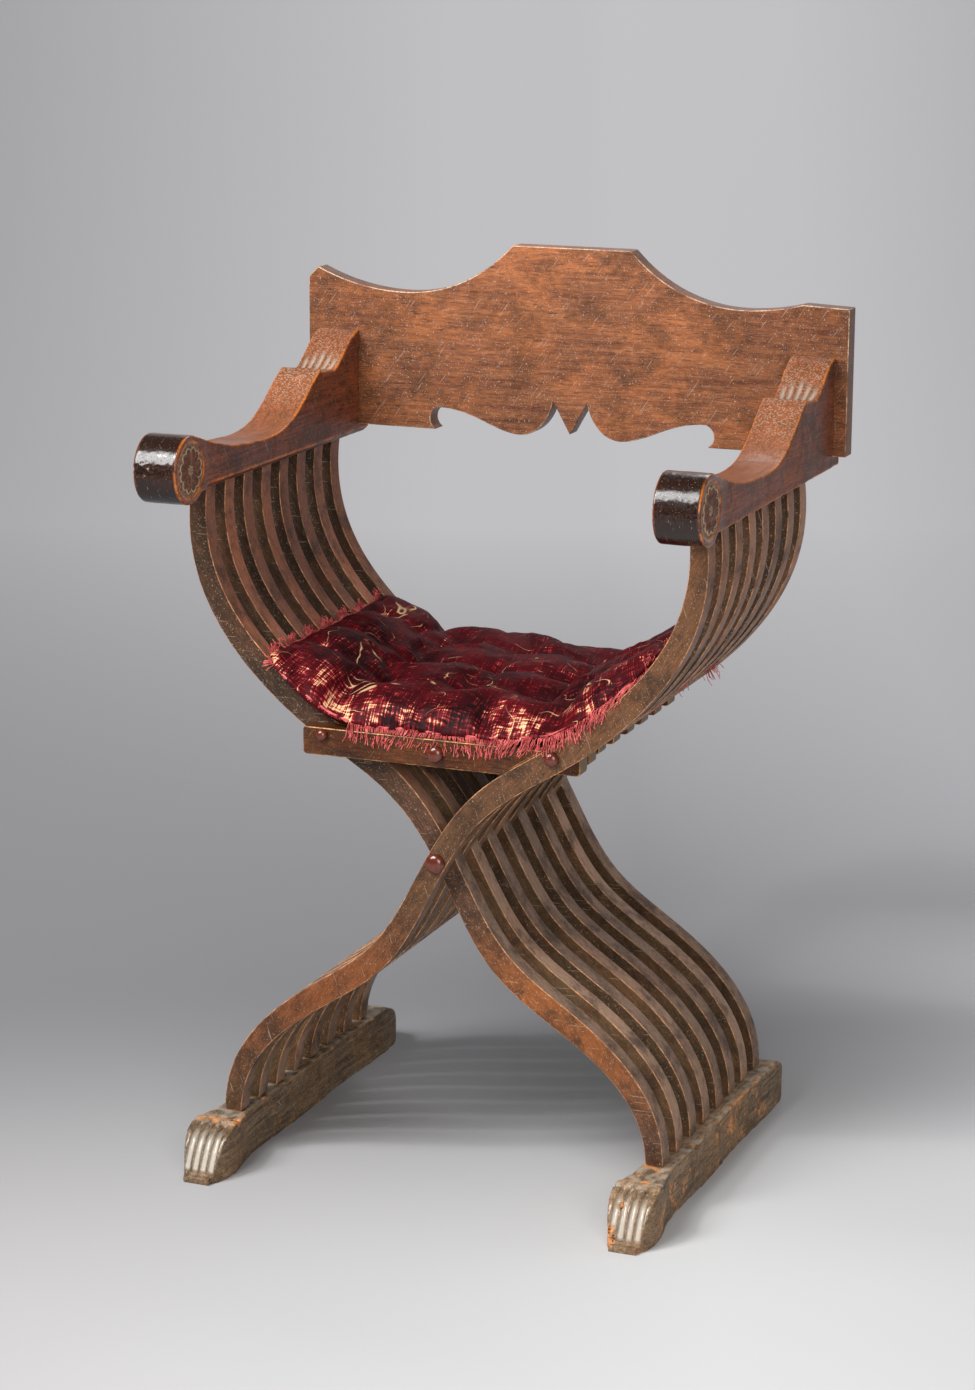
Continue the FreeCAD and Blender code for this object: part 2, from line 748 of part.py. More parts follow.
def make_head(label, alias, x, y, z, facing):
    """Domed peg head turned about its own axis; facing -1 looks to the front."""
    body = new_body(label)
    profile = sketch_on(body, "XY_Plane", f"{label}_profile")
    radius = size(alias)
    rim = size("head_rim")
    height = size("head_height")
    dome_share = math.sqrt(0.5)
    dome = (radius * dome_share, rim + (height - rim) * dome_share)
    profile.addGeometry([
        line((0, 0), (radius, 0)),
        line((radius, 0), (radius, rim)),
        spline([(radius, rim), dome, (0, height)]),
        line((0, height), (0, 0)),
    ])
    turned = body.newObject("PartDesign::Revolution", f"{label}_turned")
    turned.Profile = profile
    turned.ReferenceAxis = (profile, ["V_Axis"])
    turned.Angle = 360
    turn = FreeCAD.Rotation(FreeCAD.Vector(0, 0, 1), 180 if facing < 0 else 0)
    body.Placement = FreeCAD.Placement(FreeCAD.Vector(x, y, z), turn)
    return body


def make_centre_pins(label, side):
    """The centre pin in lengths: one in each slat of a side, joined in one node."""
    lengths = []
    for layer in layers_of(side):
        start = layer_middle(layer) - size("stave_thickness") / 2
        name = f"{label}_length_{layer}"
        end = start + size("stave_thickness")
        lengths.append(make_rod(name, 0, CENTRE_PIN_HEIGHT, "seat_rod_radius", start, end))
    group = doc.addObject("Part::Compound", label)
    group.Label = label
    group.Links = lengths
    return group


# Squab cushion


def cushion_side(sign, rise):
    """Stations on one side: off the slats, round the hollow's corner and up the staves."""
    gap = size("cushion_clearance")
    level = SLAT_TOP + gap
    corner_x = on_stave(sign, SLAT_TOP, gap)[0][0]
    flat_shares = [(0.36, 1.0), (0.7, 0.96)]
    stations = []
    for share, fullness in flat_shares:
        stations.append(((share * corner_x, level), (0.0, 1.0), fullness))
    # share of the rise up the staves, fullness there
    rise_shares = [(0.32, 0.8), (0.6, 0.66), (0.84, 0.4), (1.0, 0.0)]
    side = []
    for share, fullness in rise_shares:
        point, up = on_stave(sign, SLAT_TOP + share * rise, gap)
        side.append((point, up, fullness))
    # the bend between them is the middle of a quadratic curve with its control at the corner
    start, end = stations[-1][0], side[0][0]
    bend = (
        start[0] / 4 + corner_x / 2 + end[0] / 4,
        start[1] / 4 + level / 2 + end[1] / 4,
    )
    chord = math.hypot(end[0] - start[0], end[1] - start[1])
    up = (-sign * (end[1] - start[1]) / chord, sign * (end[0] - start[0]) / chord)
    bend_fullness_share = 0.88
    return stations + [(bend, up, bend_fullness_share)] + side


def cushion_stations():
    """Underside points from left to right, with the way up and the fullness at each."""
    left = cushion_side(-1, size("cushion_left_rise"))
    right = cushion_side(1, size("cushion_right_rise"))
    middle = ((0.0, SLAT_TOP + size("cushion_clearance")), (0.0, 1.0), 1.0)
    return left[::-1] + [middle] + right


def cushion_section(station, tufted):
    """Closed section: a flat underside, drawn-in ends and arcs pinched at the tufts."""
    point, up, fullness = station
    front = STACK_FRONT + size("cushion_front_place")
    draw = size("cushion_corner_draw") * (1 - fullness) ** 2
    low_y = front + draw
    high_y = front + size("cushion_depth") - draw
    edge = size("cushion_edge_thickness") * (1 + fullness) / 2
    crown = edge + (size("cushion_thickness") - edge) * fullness
    dip = size("cushion_tuft_depth" if tufted else "cushion_pucker_depth") * fullness
    tuck = edge / 2

    def at(y, height):
        return FreeCAD.Vector(point[0] + up[0] * height, y, point[1] + up[1] * height)

    puffs = int(size("cushion_puffs"))
    depth = high_y - low_y - 2 * tuck
    pinches = [low_y + tuck + depth * i / puffs for i in range(puffs + 1)]
    heights = [edge] + [crown - dip] * (puffs - 1) + [edge]
    end_bulge_share = 0.32
    swell = size("cushion_swell") * (1 + fullness) / 2
    edges = [Part.LineSegment(at(low_y + tuck, 0), at(high_y - tuck, 0)).toShape()]
    edges.append(Part.Arc(
        at(high_y - tuck, 0), at(high_y, edge / 2), at(high_y - tuck, edge)
    ).toShape())
    for i in range(puffs, 0, -1):
        middle = (pinches[i] + pinches[i - 1]) / 2
        bulge = swell + dip
        if i in (1, puffs):
            bulge += (crown - edge) * end_bulge_share
        top = (heights[i] + heights[i - 1]) / 2 + bulge
        edges.append(Part.Arc(
            at(pinches[i], heights[i]), at(middle, top), at(pinches[i - 1], heights[i - 1])
        ).toShape())
    edges.append(Part.Arc(
        at(low_y + tuck, edge), at(low_y, edge / 2), at(low_y + tuck, 0)
    ).toShape())
    return Part.Wire(edges)


def make_cushion():
    """Thin squab that lies on the slats and turns up against the staves."""
    cushion = doc.addObject("Part::Feature", "squab_cushion")
    cushion.Label = "squab_cushion"
    sections = []
    for number, station in enumerate(cushion_stations()):
        # every other station is a sewn row
        sections.append(cushion_section(station, number % 2 == 1))
    cushion.Shape = Part.makeLoft(sections, True, False)
    return cushion


def build():
    front = STACK_FRONT - size("head_gap")
    back = STACK_FRONT + STACK_DEPTH + size("head_gap")
    pieces = []
    for side in ("right", "left"):
        pieces.append(make_arm(f"{side}_arm", side))
        for number, layer in enumerate(layers_of(side), start=1):
            pieces.append(make_stave(f"{side}_arm_stave_{number}", side, layer))
        foot = "left_foot" if side == "right" else "right_foot"
        pieces.append(make_foot(foot, side))
    # the slats that hinge on the left rod lie in the right arm's layers
    for hinge, layers in (("left", layers_of("right")), ("right", layers_of("left"))):
        for number, layer in enumerate(layers, start=1):
            pieces.append(make_slat(f"{hinge}_seat_slat_{number}", hinge, layer))
        filled = "right" if hinge == "left" else "left"
        pieces.append(make_centre_pins(f"{hinge}_slat_centre_pin", filled))
    cross_z = size("crossing_height")
    pieces.append(make_rod("crossing_pin", 0, cross_z, "crossing_pin_radius", front, back))
    for side, sign in (("left", -1), ("right", 1)):
        x = sign * SEAT_ROD_X
        rod = make_rod(f"{side}_seat_rod", x, SEAT_ROD_HEIGHT, "seat_rod_radius", front, back)
        pieces.append(rod)
    for end, y, facing in (("front", front, -1), ("back", back, 1)):
        pieces.append(make_head(
            f"crossing_pin_{end}_head", "crossing_head_radius", 0, y, cross_z, facing
        ))
        pieces.append(make_head(
            f"centre_pin_{end}_head", "centre_head_radius", 0, y, CENTRE_PIN_HEIGHT, facing
        ))
        for side, sign in (("left", -1), ("right", 1)):
            pieces.append(make_head(
                f"{side}_seat_rod_{end}_head", f"{side}_head_radius",
                sign * SEAT_ROD_X, y, SEAT_ROD_HEIGHT, facing,
            ))
    pieces.append(make_board())
    pieces.append(make_cushion())
    return pieces


def export(pieces):
    doc.recompute()
    for item in doc.Objects:
        if "Invalid" in item.State or "Error" in item.State:
            raise RuntimeError(f"{item.Label} did not build: {item.State}")
    for piece in pieces:
        if piece.Shape.isNull() or not piece.Shape.isValid():
            raise RuntimeError(f"{piece.Label} has no valid shape")
    os.makedirs("parts", exist_ok=True)
    for piece in pieces:
        piece.Shape.exportStep(f"parts/{piece.Label}.step")
    solids = sum(len(piece.Shape.Solids) for piece in pieces)
    print(f"{len(pieces)} nodes, {solids} solids, seat rods at {SEAT_ROD_X:.2f}")


export(build())
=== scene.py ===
import json
import math
import random

import bmesh
import bpy
import numpy as np
from mathutils import Matrix, Vector, kdtree, noise


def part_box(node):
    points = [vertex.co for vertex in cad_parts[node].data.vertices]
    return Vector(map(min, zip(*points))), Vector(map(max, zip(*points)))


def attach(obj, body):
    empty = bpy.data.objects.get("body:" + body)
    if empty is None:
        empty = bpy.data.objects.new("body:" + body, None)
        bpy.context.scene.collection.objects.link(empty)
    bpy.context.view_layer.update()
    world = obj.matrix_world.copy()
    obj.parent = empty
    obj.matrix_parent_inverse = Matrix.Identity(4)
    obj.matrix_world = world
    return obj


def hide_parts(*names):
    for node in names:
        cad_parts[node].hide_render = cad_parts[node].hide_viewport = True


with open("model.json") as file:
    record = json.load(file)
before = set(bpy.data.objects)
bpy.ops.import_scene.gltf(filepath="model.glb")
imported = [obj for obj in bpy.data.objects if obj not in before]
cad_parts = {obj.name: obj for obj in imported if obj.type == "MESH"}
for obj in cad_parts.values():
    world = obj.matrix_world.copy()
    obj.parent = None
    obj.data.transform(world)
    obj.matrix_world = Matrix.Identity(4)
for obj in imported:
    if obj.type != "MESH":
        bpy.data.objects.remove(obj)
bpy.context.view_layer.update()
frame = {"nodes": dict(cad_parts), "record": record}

MM = 0.001
PHOTO_HEIGHT = 1390
BODIES = frame["record"]["behaviour"]["bodies"]


# Places on the chair, in mm in the row frame

PIN_HEIGHT = 338.0
ROD_PLACE = (119.98, 455.6)
CENTRE_PIN_HEIGHT = 448.4
STACK_FRONT = -166.0
LAYER_PITCH = 21.2
ARM_MIDDLE = 263.0
ARM_HALF_WIDTH = 23.0
SCROLL_CENTRE = (-202.5, 715.0)
ARM_LIP = 99.0
ARM_BACK = 197.0
PAW_COLLAR = 196.5
PAW_TOP = 204.0
FOOT_MIDDLE = 225.4
FLUTE_SPACING = 8.6
FLUTE_HALF_WIDTH = 3.5


def linear(code):
    """Linear colour with full alpha from an sRGB hex code."""
    parts = [int(code[i:i + 2], 16) / 255 for i in (1, 3, 5)]
    bent = [c / 12.92 if c <= 0.04045 else ((c + 0.055) / 1.055) ** 2.4 for c in parts]
    return (*bent, 1.0)


def feed(tree, node, inputs):
    """Links a socket or a node's first live output to each input, or sets its value."""
    for key, value in inputs.items():
        if isinstance(value, bpy.types.Node):
            value = next(output for output in value.outputs if output.enabled)
        if isinstance(value, bpy.types.NodeSocket):
            tree.links.new(value, node.inputs[key])
        else:
            node.inputs[key].default_value = value


def add(tree, kind, inputs=None, **settings):
    """Adds a node with its settings and inputs."""
    made = tree.nodes.new(kind)
    for name, value in settings.items():
        setattr(made, name, value)
    feed(tree, made, inputs or {})
    return made


def new_material(name):
    """A material, its nodes and its shader."""
    material = bpy.data.materials.new(name)
    material.use_nodes = True
    return material, material.node_tree, material.node_tree.nodes["Principled BSDF"]


# Wood and cloth, from a few kinds of pattern


def patchwork(tree, place, size, levels, **settings):
    """Noise, and its mask between two levels.

    size is that of a lump in mm, or its length, width and depth where it is drawn out; two
    sizes make a flat pattern. levels are where the mask starts and ends, and if given its
    values there; without levels there is no mask.
    """
    scale, flat = 1.0, False
    if isinstance(size, tuple):
        flat = len(size) == 2
        stretch = [1 / (length * MM) for length in size]
        place = add(tree, "ShaderNodeMapping", {
            "Vector": place, "Scale": (*stretch, 1.0)[:3],
        })
    else:
        scale = 1 / (size * MM)
    texture = add(tree, "ShaderNodeTexNoise", {
        "Vector": place, "Scale": scale, **settings,
    }, noise_dimensions="2D" if flat else "3D")
    mask = levels and add(tree, "ShaderNodeMapRange", {
        0: texture, **dict(enumerate(levels, start=1)),
    })
    return texture, mask


def walnut(name, tones, turn=(0, 0, 0), roughness=0.45, coat=0.0, gouged=0.0, worn=1.0,
           scratched=0.4, grimed=0.6, sides=None, rest=None):
    """Old walnut, waxed or dry: long grain, pores, two browns in blotches, rubbed arrises.

    tones are the dark, middle, warm, arris and dust colours; the dark colour is also painted as
    shade on downward faces. turn takes the way that the grain runs to X. gouged is the depth in
    mm of tool marks and dents. grimed is how dark the ragged patches of old wax and soot are.
    sides are the colours of a stave's front above the seat, below it and on the leg, of its
    faces in the gaps above and below, which are painted shade, and of its edges above and below,
    which are a painted highlight. rest is the stretch of Y in mm whose upward faces are
    stippled, with the near-black scroll in front of it. The attributes arris, hollow, polish and
    wormy say where the wood is rubbed bare, dusty, glossy and eaten; on the feet, hollow also
    holds a painted highlight in the flutes.
    """
    material, tree, shader = new_material(name)
    dark, middle, warm, arris, dust = [linear(tone) for tone in tones]
    coordinates = add(tree, "ShaderNodeTexCoord")
    place = coordinates.outputs["Object"]
    normal_x, normal_y, normal_z = add(tree, "ShaderNodeSeparateXYZ", {
        0: coordinates.outputs["Normal"],
    }).outputs
    _, run, rise = add(tree, "ShaderNodeSeparateXYZ", {0: place}).outputs
    tone, dust_and_flute_highlight, edge, eaten, polish = [
        add(tree, "ShaderNodeAttribute", attribute_name=kind).outputs["Fac"]
        for kind in ("tone", "hollow", "arris", "wormy", "polish")
    ]
    plank = add(tree, "ShaderNodeMapping", {"Vector": place, "Rotation": turn})
    # growth rings show as streaks 4 mm across and 110 mm long
    streaks, streak_mask = patchwork(
        tree, plank, (110, 4, 4), (0.32, 0.68), Detail=4.0, Distortion=0.4
    )
    # open pores are 0.3 mm wide; drawn 0.9 mm wide and 14 mm long so that they show
    _, pore_mask = patchwork(tree, plank, (14, 0.9, 0.9), (0.56, 0.7), Detail=1.0)
    blotches, blotch_mask = patchwork(
        tree, place, 75, (0.42, 0.66, 0.0, 0.6), Detail=4.0, Roughness=0.65
    )
    grain_and_face_shading = [(streak_mask, middle), (blotch_mask, warm), (pore_mask, dark)]
    if sides:
        (front_above, front_below, front_leg, shaded_gap_above, shaded_gap_below, lit_edge_above,
         lit_edge_below) = [linear(code) for code in sides]
        above = add(tree, "ShaderNodeMapRange", {0: rise, 1: 330 * MM, 2: 500 * MM})
        facing = add(tree, "ShaderNodeMath", {0: normal_y}, operation="ABSOLUTE")
        broad = add(tree, "ShaderNodeMapRange", {0: facing, 1: 0.5, 2: 0.85})
        foremost = add(tree, "ShaderNodeMapRange", {
            0: run, 1: -140 * MM, 2: -130 * MM, 3: 1.0, 4: 0.0,
        })
        # the front of the leg is a warmer brown, 80 to 290 mm up
        up_leg = add(tree, "ShaderNodeMapRange", {0: rise, 1: 80 * MM, 2: 160 * MM})
        on_leg = add(tree, "ShaderNodeMapRange", {
            0: rise, 1: 220 * MM, 2: 290 * MM, 3: 1.0, 4: 0.0,
        })
        warm_leg_band = add(tree, "ShaderNodeMath", {0: up_leg, 1: on_leg}, operation="MULTIPLY")
        # painted shade and light: faces in the gaps behind the foremost stave take the dark gap
        # colours as shade, and narrow edges take the pale edge colours as light from above
        face_tone_and_shading = {}
        for part, share, lower, upper in (
            ("low front", warm_leg_band, front_below, front_leg),
            ("front", above, "low front", front_above),
            ("gap", above, shaded_gap_below, shaded_gap_above),
            ("flat", foremost, "gap", "front"),
            ("edge", above, lit_edge_below, lit_edge_above),
            ("side", broad, "edge", "flat"),
        ):
            face_tone_and_shading[part] = add(tree, "ShaderNodeMix", {
                0: share, 6: face_tone_and_shading.get(lower, lower), 7: face_tone_and_shading.get(upper, upper),
            }, data_type="RGBA")
        grain_and_face_shading.append((0.62, face_tone_and_shading["side"]))
    colour = dark
    for share, over in grain_and_face_shading:
        colour = add(tree, "ShaderNodeMix", {0: share, 6: colour, 7: over}, data_type="RGBA")
    # each piece was sawn from another part of the log; on the board the tone also holds a painted
    # sheen in the middle, and on the feet painted shade along the flutes' edges
    tone_gain = add(tree, "ShaderNodeMapRange", {0: tone, 3: 0.72, 4: 1.18})
    # light and dark flecks along the grain, 2 mm wide and 10 mm long
    _, fleck_gain = patchwork(
        tree, plank, (10, 2.2, 2.2), (0.3, 0.7, 0.7, 1.3), Detail=3.0, Roughness=0.7
    )
    gain = add(tree, "ShaderNodeMath", {0: tone_gain, 1: fleck_gain}, operation="MULTIPLY")
    colour = add(tree, "ShaderNodeHueSaturation", {"Value": gain, "Color": colour})

    # old wax and soot in ragged patches about 40 mm across
    _, soot_mask = patchwork(
        tree, place, 38, (0.46, 0.62, 0.0, grimed), Detail=6.0, Roughness=0.72
    )
    # painted shade: faces that point downwards are darkened towards the dark colour
    painted_underside_shade = add(tree, "ShaderNodeMapRange", {0: normal_z, 1: -0.3, 2: -0.75, 4: 0.6})
    # grime specks and pale dust about 1.5 mm across
    _, speck_mask = patchwork(tree, place, 1.6, (0.62, 0.74, 0.0, 0.55), Detail=2.0)
    aged_and_shaded = [(soot_mask, linear("#2e2118")), (painted_underside_shade, dark), (speck_mask, dust)]
    height = add(tree, "ShaderNodeMath", {0: streaks, 1: pore_mask}, operation="SUBTRACT")
    if rest:
        upward = add(tree, "ShaderNodeMapRange", {0: normal_z, 1: 0.25, 2: 0.75})
        # upward faces are mixed a third of the way towards a lighter, warmer brown
        warmer_on_top = add(tree, "ShaderNodeMath", {0: upward, 1: 0.36}, operation="MULTIPLY")
        # the scroll's round front has gone nearly black
        front = add(tree, "ShaderNodeMapRange", {
            0: run, 1: -212 * MM, 2: -178 * MM, 3: 0.96, 4: 0.0,
        })
        sideways = add(tree, "ShaderNodeMath", {0: normal_x}, operation="ABSOLUTE")
        not_side = add(tree, "ShaderNodeMath", {0: 1.0, 1: sideways}, operation="SUBTRACT")
        blackness = add(tree, "ShaderNodeMath", {0: front, 1: not_side}, operation="MULTIPLY")
        # punched stippling, dots 2 mm apart
        dots = add(tree, "ShaderNodeTexVoronoi", {"Vector": place, "Scale": 1 / (2.4 * MM)})
        zone = add(tree, "ShaderNodeMapRange", {0: run, 1: rest[0] * MM, 2: rest[1] * MM})
        stipple = add(tree, "ShaderNodeMath", {0: zone, 1: upward}, operation="MULTIPLY")
        dot_mask = add(tree, "ShaderNodeMapRange", {0: dots, 1: 0.15, 2: 0.55, 3: 1.0, 4: 0.0})
        dotted = add(tree, "ShaderNodeMath", {0: dot_mask, 1: stipple}, operation="MULTIPLY")
        patchy = add(tree, "ShaderNodeMath", {0: dotted, 1: blotches}, operation="MULTIPLY")
        aged_and_shaded += [(warmer_on_top, linear("#a0602f")), (blackness, linear("#120a08")), (patchy, dust)]
        height = add(tree, "ShaderNodeMath", {0: height, 1: dotted}, operation="SUBTRACT")
    # pale dust in carved hollows; on the feet's fluted toes the same pale colour is a painted
    # highlight
    pale_share = add(tree, "ShaderNodeMath", {0: dust_and_flute_highlight, 1: 0.75}, operation="MULTIPLY")
    # arrises rubbed down to bare, warmer wood, broken up every 15 mm or so
    _, patch_mask = patchwork(tree, place, 16, (0.38, 0.58, 0.1 * worn, worn), Detail=3.0)
    _, crumb_mask = patchwork(tree, place, 2.6, (0.36, 0.6, 0.35), Detail=2.0)
    crumbled = add(tree, "ShaderNodeMath", {0: patch_mask, 1: crumb_mask}, operation="MULTIPLY")
    rub = add(tree, "ShaderNodeMath", {
        0: edge, 1: crumbled,
    }, operation="MULTIPLY", use_clamp=True)
    # scratches 1 mm wide and 22 mm long, across the grain
    across_grain = add(tree, "ShaderNodeMapping", {
        "Vector": plank, "Rotation": (0.5, 0.9, 0.4),
    })
    _, scratch_mask = patchwork(
        tree, across_grain, (22, 1, 1), (0.77, 0.82, 0.0, scratched), Detail=0.0
    )
    # flight holes of woodworm, 2 mm wide
    holes = add(tree, "ShaderNodeTexVoronoi", {"Vector": place, "Scale": 1 / (4.2 * MM)})
    hole_mask = add(tree, "ShaderNodeMapRange", {0: holes, 1: 0.2, 2: 0.36, 3: 1.0, 4: 0.0})
    hole = add(tree, "ShaderNodeMath", {0: hole_mask, 1: eaten}, operation="MULTIPLY")
    aged_and_shaded += [(pale_share, dust), (rub, arris), (scratch_mask, dust), (hole, linear("#1c130d"))]
    for share, over in aged_and_shaded:
        colour = add(tree, "ShaderNodeMix", {0: share, 6: colour, 7: over}, data_type="RGBA")

    height = add(tree, "ShaderNodeMath", {0: height, 1: hole}, operation="SUBTRACT")
    fine = add(tree, "ShaderNodeBump", {"Strength": 0.35, "Distance": 0.4 * MM, "Height": height})
    dents = add(tree, "ShaderNodeTexNoise", {
        "Vector": place, "Scale": 1 / (14 * MM), "Detail": 3.0, "Roughness": 0.55,
    })
    dented = add(tree, "ShaderNodeBump", {
        "Strength": 0.6, "Distance": gouged * MM, "Height": dents, "Normal": fine,
    })
    gloss = add(tree, "ShaderNodeMapRange", {
        0: blotches, 1: 0.3, 2: 0.7, 3: roughness - 0.08, 4: roughness + 0.14,
    })
    polished = add(tree, "ShaderNodeMapRange", {0: polish, 3: gloss, 4: 0.16})
    waxed = add(tree, "ShaderNodeMapRange", {0: polish, 3: coat, 4: 0.6})
    feed(tree, shader, {
        "Base Color": colour, "Roughness": polished, "Coat Weight": waxed,
        "Coat Roughness": 0.16, "Coat IOR": 1.5, "Specular IOR Level": 0.2, "Normal": dented,
    })
    return material


def sharp_edges(mesh, least=28.0):
    """Edges where two flat or round faces meet at an angle."""
    limit = math.radians(least)
    return [edge for edge in mesh.edges
            if len(edge.link_faces) == 2 and edge.calc_face_angle(0.0) > limit]


def samples_along(edges, step=1.0):
    """Points about step mm apart along the edges."""
    points = []
    for edge in edges:
        start, end = edge.verts[0].co, edge.verts[1].co
        count = max(1, int((end - start).length / (step * MM)))
        points += [start.lerp(end, i / count) for i in range(count + 1)]
    return points


def nearest_distances(points, targets):
    """How far each point is from the nearest target."""
    tree = kdtree.KDTree(len(targets))
    for number, target in enumerate(targets):
        tree.insert(target, number)
    tree.balance()
    return np.array([tree.find(point)[2] for point in points])


def smooth_step(values, low, high):
    """Eased share from 0 to 1 between two levels."""
    share = np.clip((values - low) / (high - low), 0, 1)
    return share * share * (3 - 2 * share)


def set_attribute(mesh, name, values):
    attribute = mesh.attributes.get(name) or mesh.attributes.new(name, "FLOAT", "POINT")
    attribute.data.foreach_set("value", np.asarray(values, np.float32))


def finished(name, mesh, material):
    """Object at the origin with one material, shaded smooth."""
    thing = bpy.data.objects.new(name, mesh)
    bpy.context.scene.collection.objects.link(thing)
    mesh.materials.clear()
    mesh.materials.append(material)
    mesh.shade_smooth()
    return thing


def baked(thing):
    """The object with its modifiers applied."""
    graph = bpy.context.evaluated_depsgraph_get()
    mesh = bpy.data.meshes.new_from_object(thing.evaluated_get(graph))
    thing.modifiers.clear()
    thing.data = mesh
    return thing


def mesh_data(mesh, name):
    """Mesh data made from a finished bmesh, which is freed."""
    data = bpy.data.meshes.new(name)
    mesh.to_mesh(data)
    mesh.free()
    return data


def clean_copy(node):
    """Copy of a CAD node's mesh with its corners merged and its flat faces whole."""
    mesh = bmesh.new()
    mesh.from_mesh(frame["nodes"][node].data)
    bmesh.ops.remove_doubles(mesh, verts=mesh.verts, dist=0.01 * MM)
    bmesh.ops.dissolve_limit(
        mesh, angle_limit=math.radians(0.4), verts=mesh.verts, edges=mesh.edges
    )
    return mesh


def near_pin(point):
    """True beside a pin hole, whose rim is under a peg head or the next stave."""
    x, z = point.x / MM, point.z / MM
    rim = 4.6
    pins = [(0, PIN_HEIGHT, rim + 2), (0, CENTRE_PIN_HEIGHT, rim)]
    pins += [(sign * ROD_PLACE[0], ROD_PLACE[1], rim) for sign in (-1, 1)]
    return any(math.hypot(x - px, z - pz) < reach for px, pz, reach in pins)


def hidden_joinery(point):
    """True for tenons and mortises, which no one sees."""
    z = point.z / MM
    half_mortise = 5.6
    arm_mortise, arm_underside = 261, 690.2
    foot_mortise, mortise_floor, foot_top = 222.4, 30, 49.8
    out = abs(point.x) / MM
    in_arm = z > arm_underside and abs(out - arm_mortise) < half_mortise
    in_foot = mortise_floor < z < foot_top and abs(out - foot_mortise) < half_mortise
    return in_arm or in_foot


def eased(node, width, material, body, tone=0.5, segments=2, cut=0.0):
    """A sawn piece with its arrises eased by wear; width is in mm.

    tone is one lightness from 0 to 1, or a function that gives it at each vertex's place.
    cut is by how many mm a slat's tail has been trimmed beyond the right-hand rod.
    """
    mesh = clean_copy(node)
    for vertex in mesh.verts:
        if cut and vertex.co.x > (ROD_PLACE[0] + 8) * MM:
            vertex.co.x -= cut * MM
    edges = [
        edge for edge in sharp_edges(mesh)
        if not all(near_pin(v.co) or hidden_joinery(v.co) for v in edge.verts)
    ]
    arrises = samples_along(edges)
    bmesh.ops.bevel(
        mesh, geom=edges, offset=width * MM, offset_type="OFFSET", segments=segments,
        profile=0.5, affect="EDGES",
    )
    data = mesh_data(mesh, f"{node}_wood")
    distances = nearest_distances([v.co for v in data.vertices], arrises)
    set_attribute(data, "arris", 1 - smooth_step(distances, 0.45 * width * MM, 0.95 * width * MM))
    if "_slat_" in node:
        end_grain = smooth_step(np.abs(vertex_arrays(data)[1][:, 0]), 0.8, 0.95)
        set_attribute(data, "hollow", 0.7 * end_grain)
    if callable(tone):
        tones = tone(vertex_arrays(data)[0] / MM)
    else:
        tones = np.full(len(data.vertices), tone)
    set_attribute(data, "tone", tones)
    thing = finished(f"{node}_wood", data, material)
    weighting = thing.modifiers.new("flat faces", "WEIGHTED_NORMAL")
    weighting.keep_sharp = False
    baked(thing)
    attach(thing, body)
    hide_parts(node)
    return thing


def vertex_arrays(mesh):
    """Places and normals of a mesh's vertices, as arrays of rows."""
    count = len(mesh.vertices)
    places, normals = np.empty(count * 3), np.empty(count * 3)
    mesh.vertices.foreach_get("co", places)
    mesh.vertex_normals.foreach_get("vector", normals)
    return places.reshape(-1, 3), normals.reshape(-1, 3)


def noise_at(places, grain, seed=0):
    """Soft noise from -1 to 1 at each place, with lumps about grain mm across."""
    shift = Vector((17.3 * seed, -5.1 * seed, 9.7 * seed))
    scale = 1 / (grain * MM)
    return np.array([noise.noise(Vector(place) * scale + shift) for place in places])


def carved(node, voxel, work, material, body):
    """A piece worked all over with a chisel: work moves its surface and sets its wear."""
    mesh = clean_copy(node)
    edges = [
        edge for edge in sharp_edges(mesh)
        if not all(hidden_joinery(v.co) for v in edge.verts)
    ]
    arrises = samples_along(edges)
    data = mesh_data(mesh, f"{node}_carved")
    thing = finished(f"{node}_carved", data, material)
    remesh = thing.modifiers.new("even faces", "REMESH")
    remesh.mode = "VOXEL"
    remesh.voxel_size = voxel * MM
    relax = thing.modifiers.new("no steps", "SMOOTH")
    relax.factor = 0.5
    relax.iterations = 3
    baked(thing)
    data = thing.data
    places, normals = vertex_arrays(data)
    distances = nearest_distances([Vector(place) for place in places], arrises) / MM
    moves, attributes = work(places / MM, normals, distances)
    data.vertices.foreach_set("co", (places + normals * (moves * MM)[:, None]).ravel())
    for name, values in attributes.items():
        set_attribute(data, name, values)
    data.update()
    data.shade_smooth()
    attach(thing, body)
    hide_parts(node)
    return thing


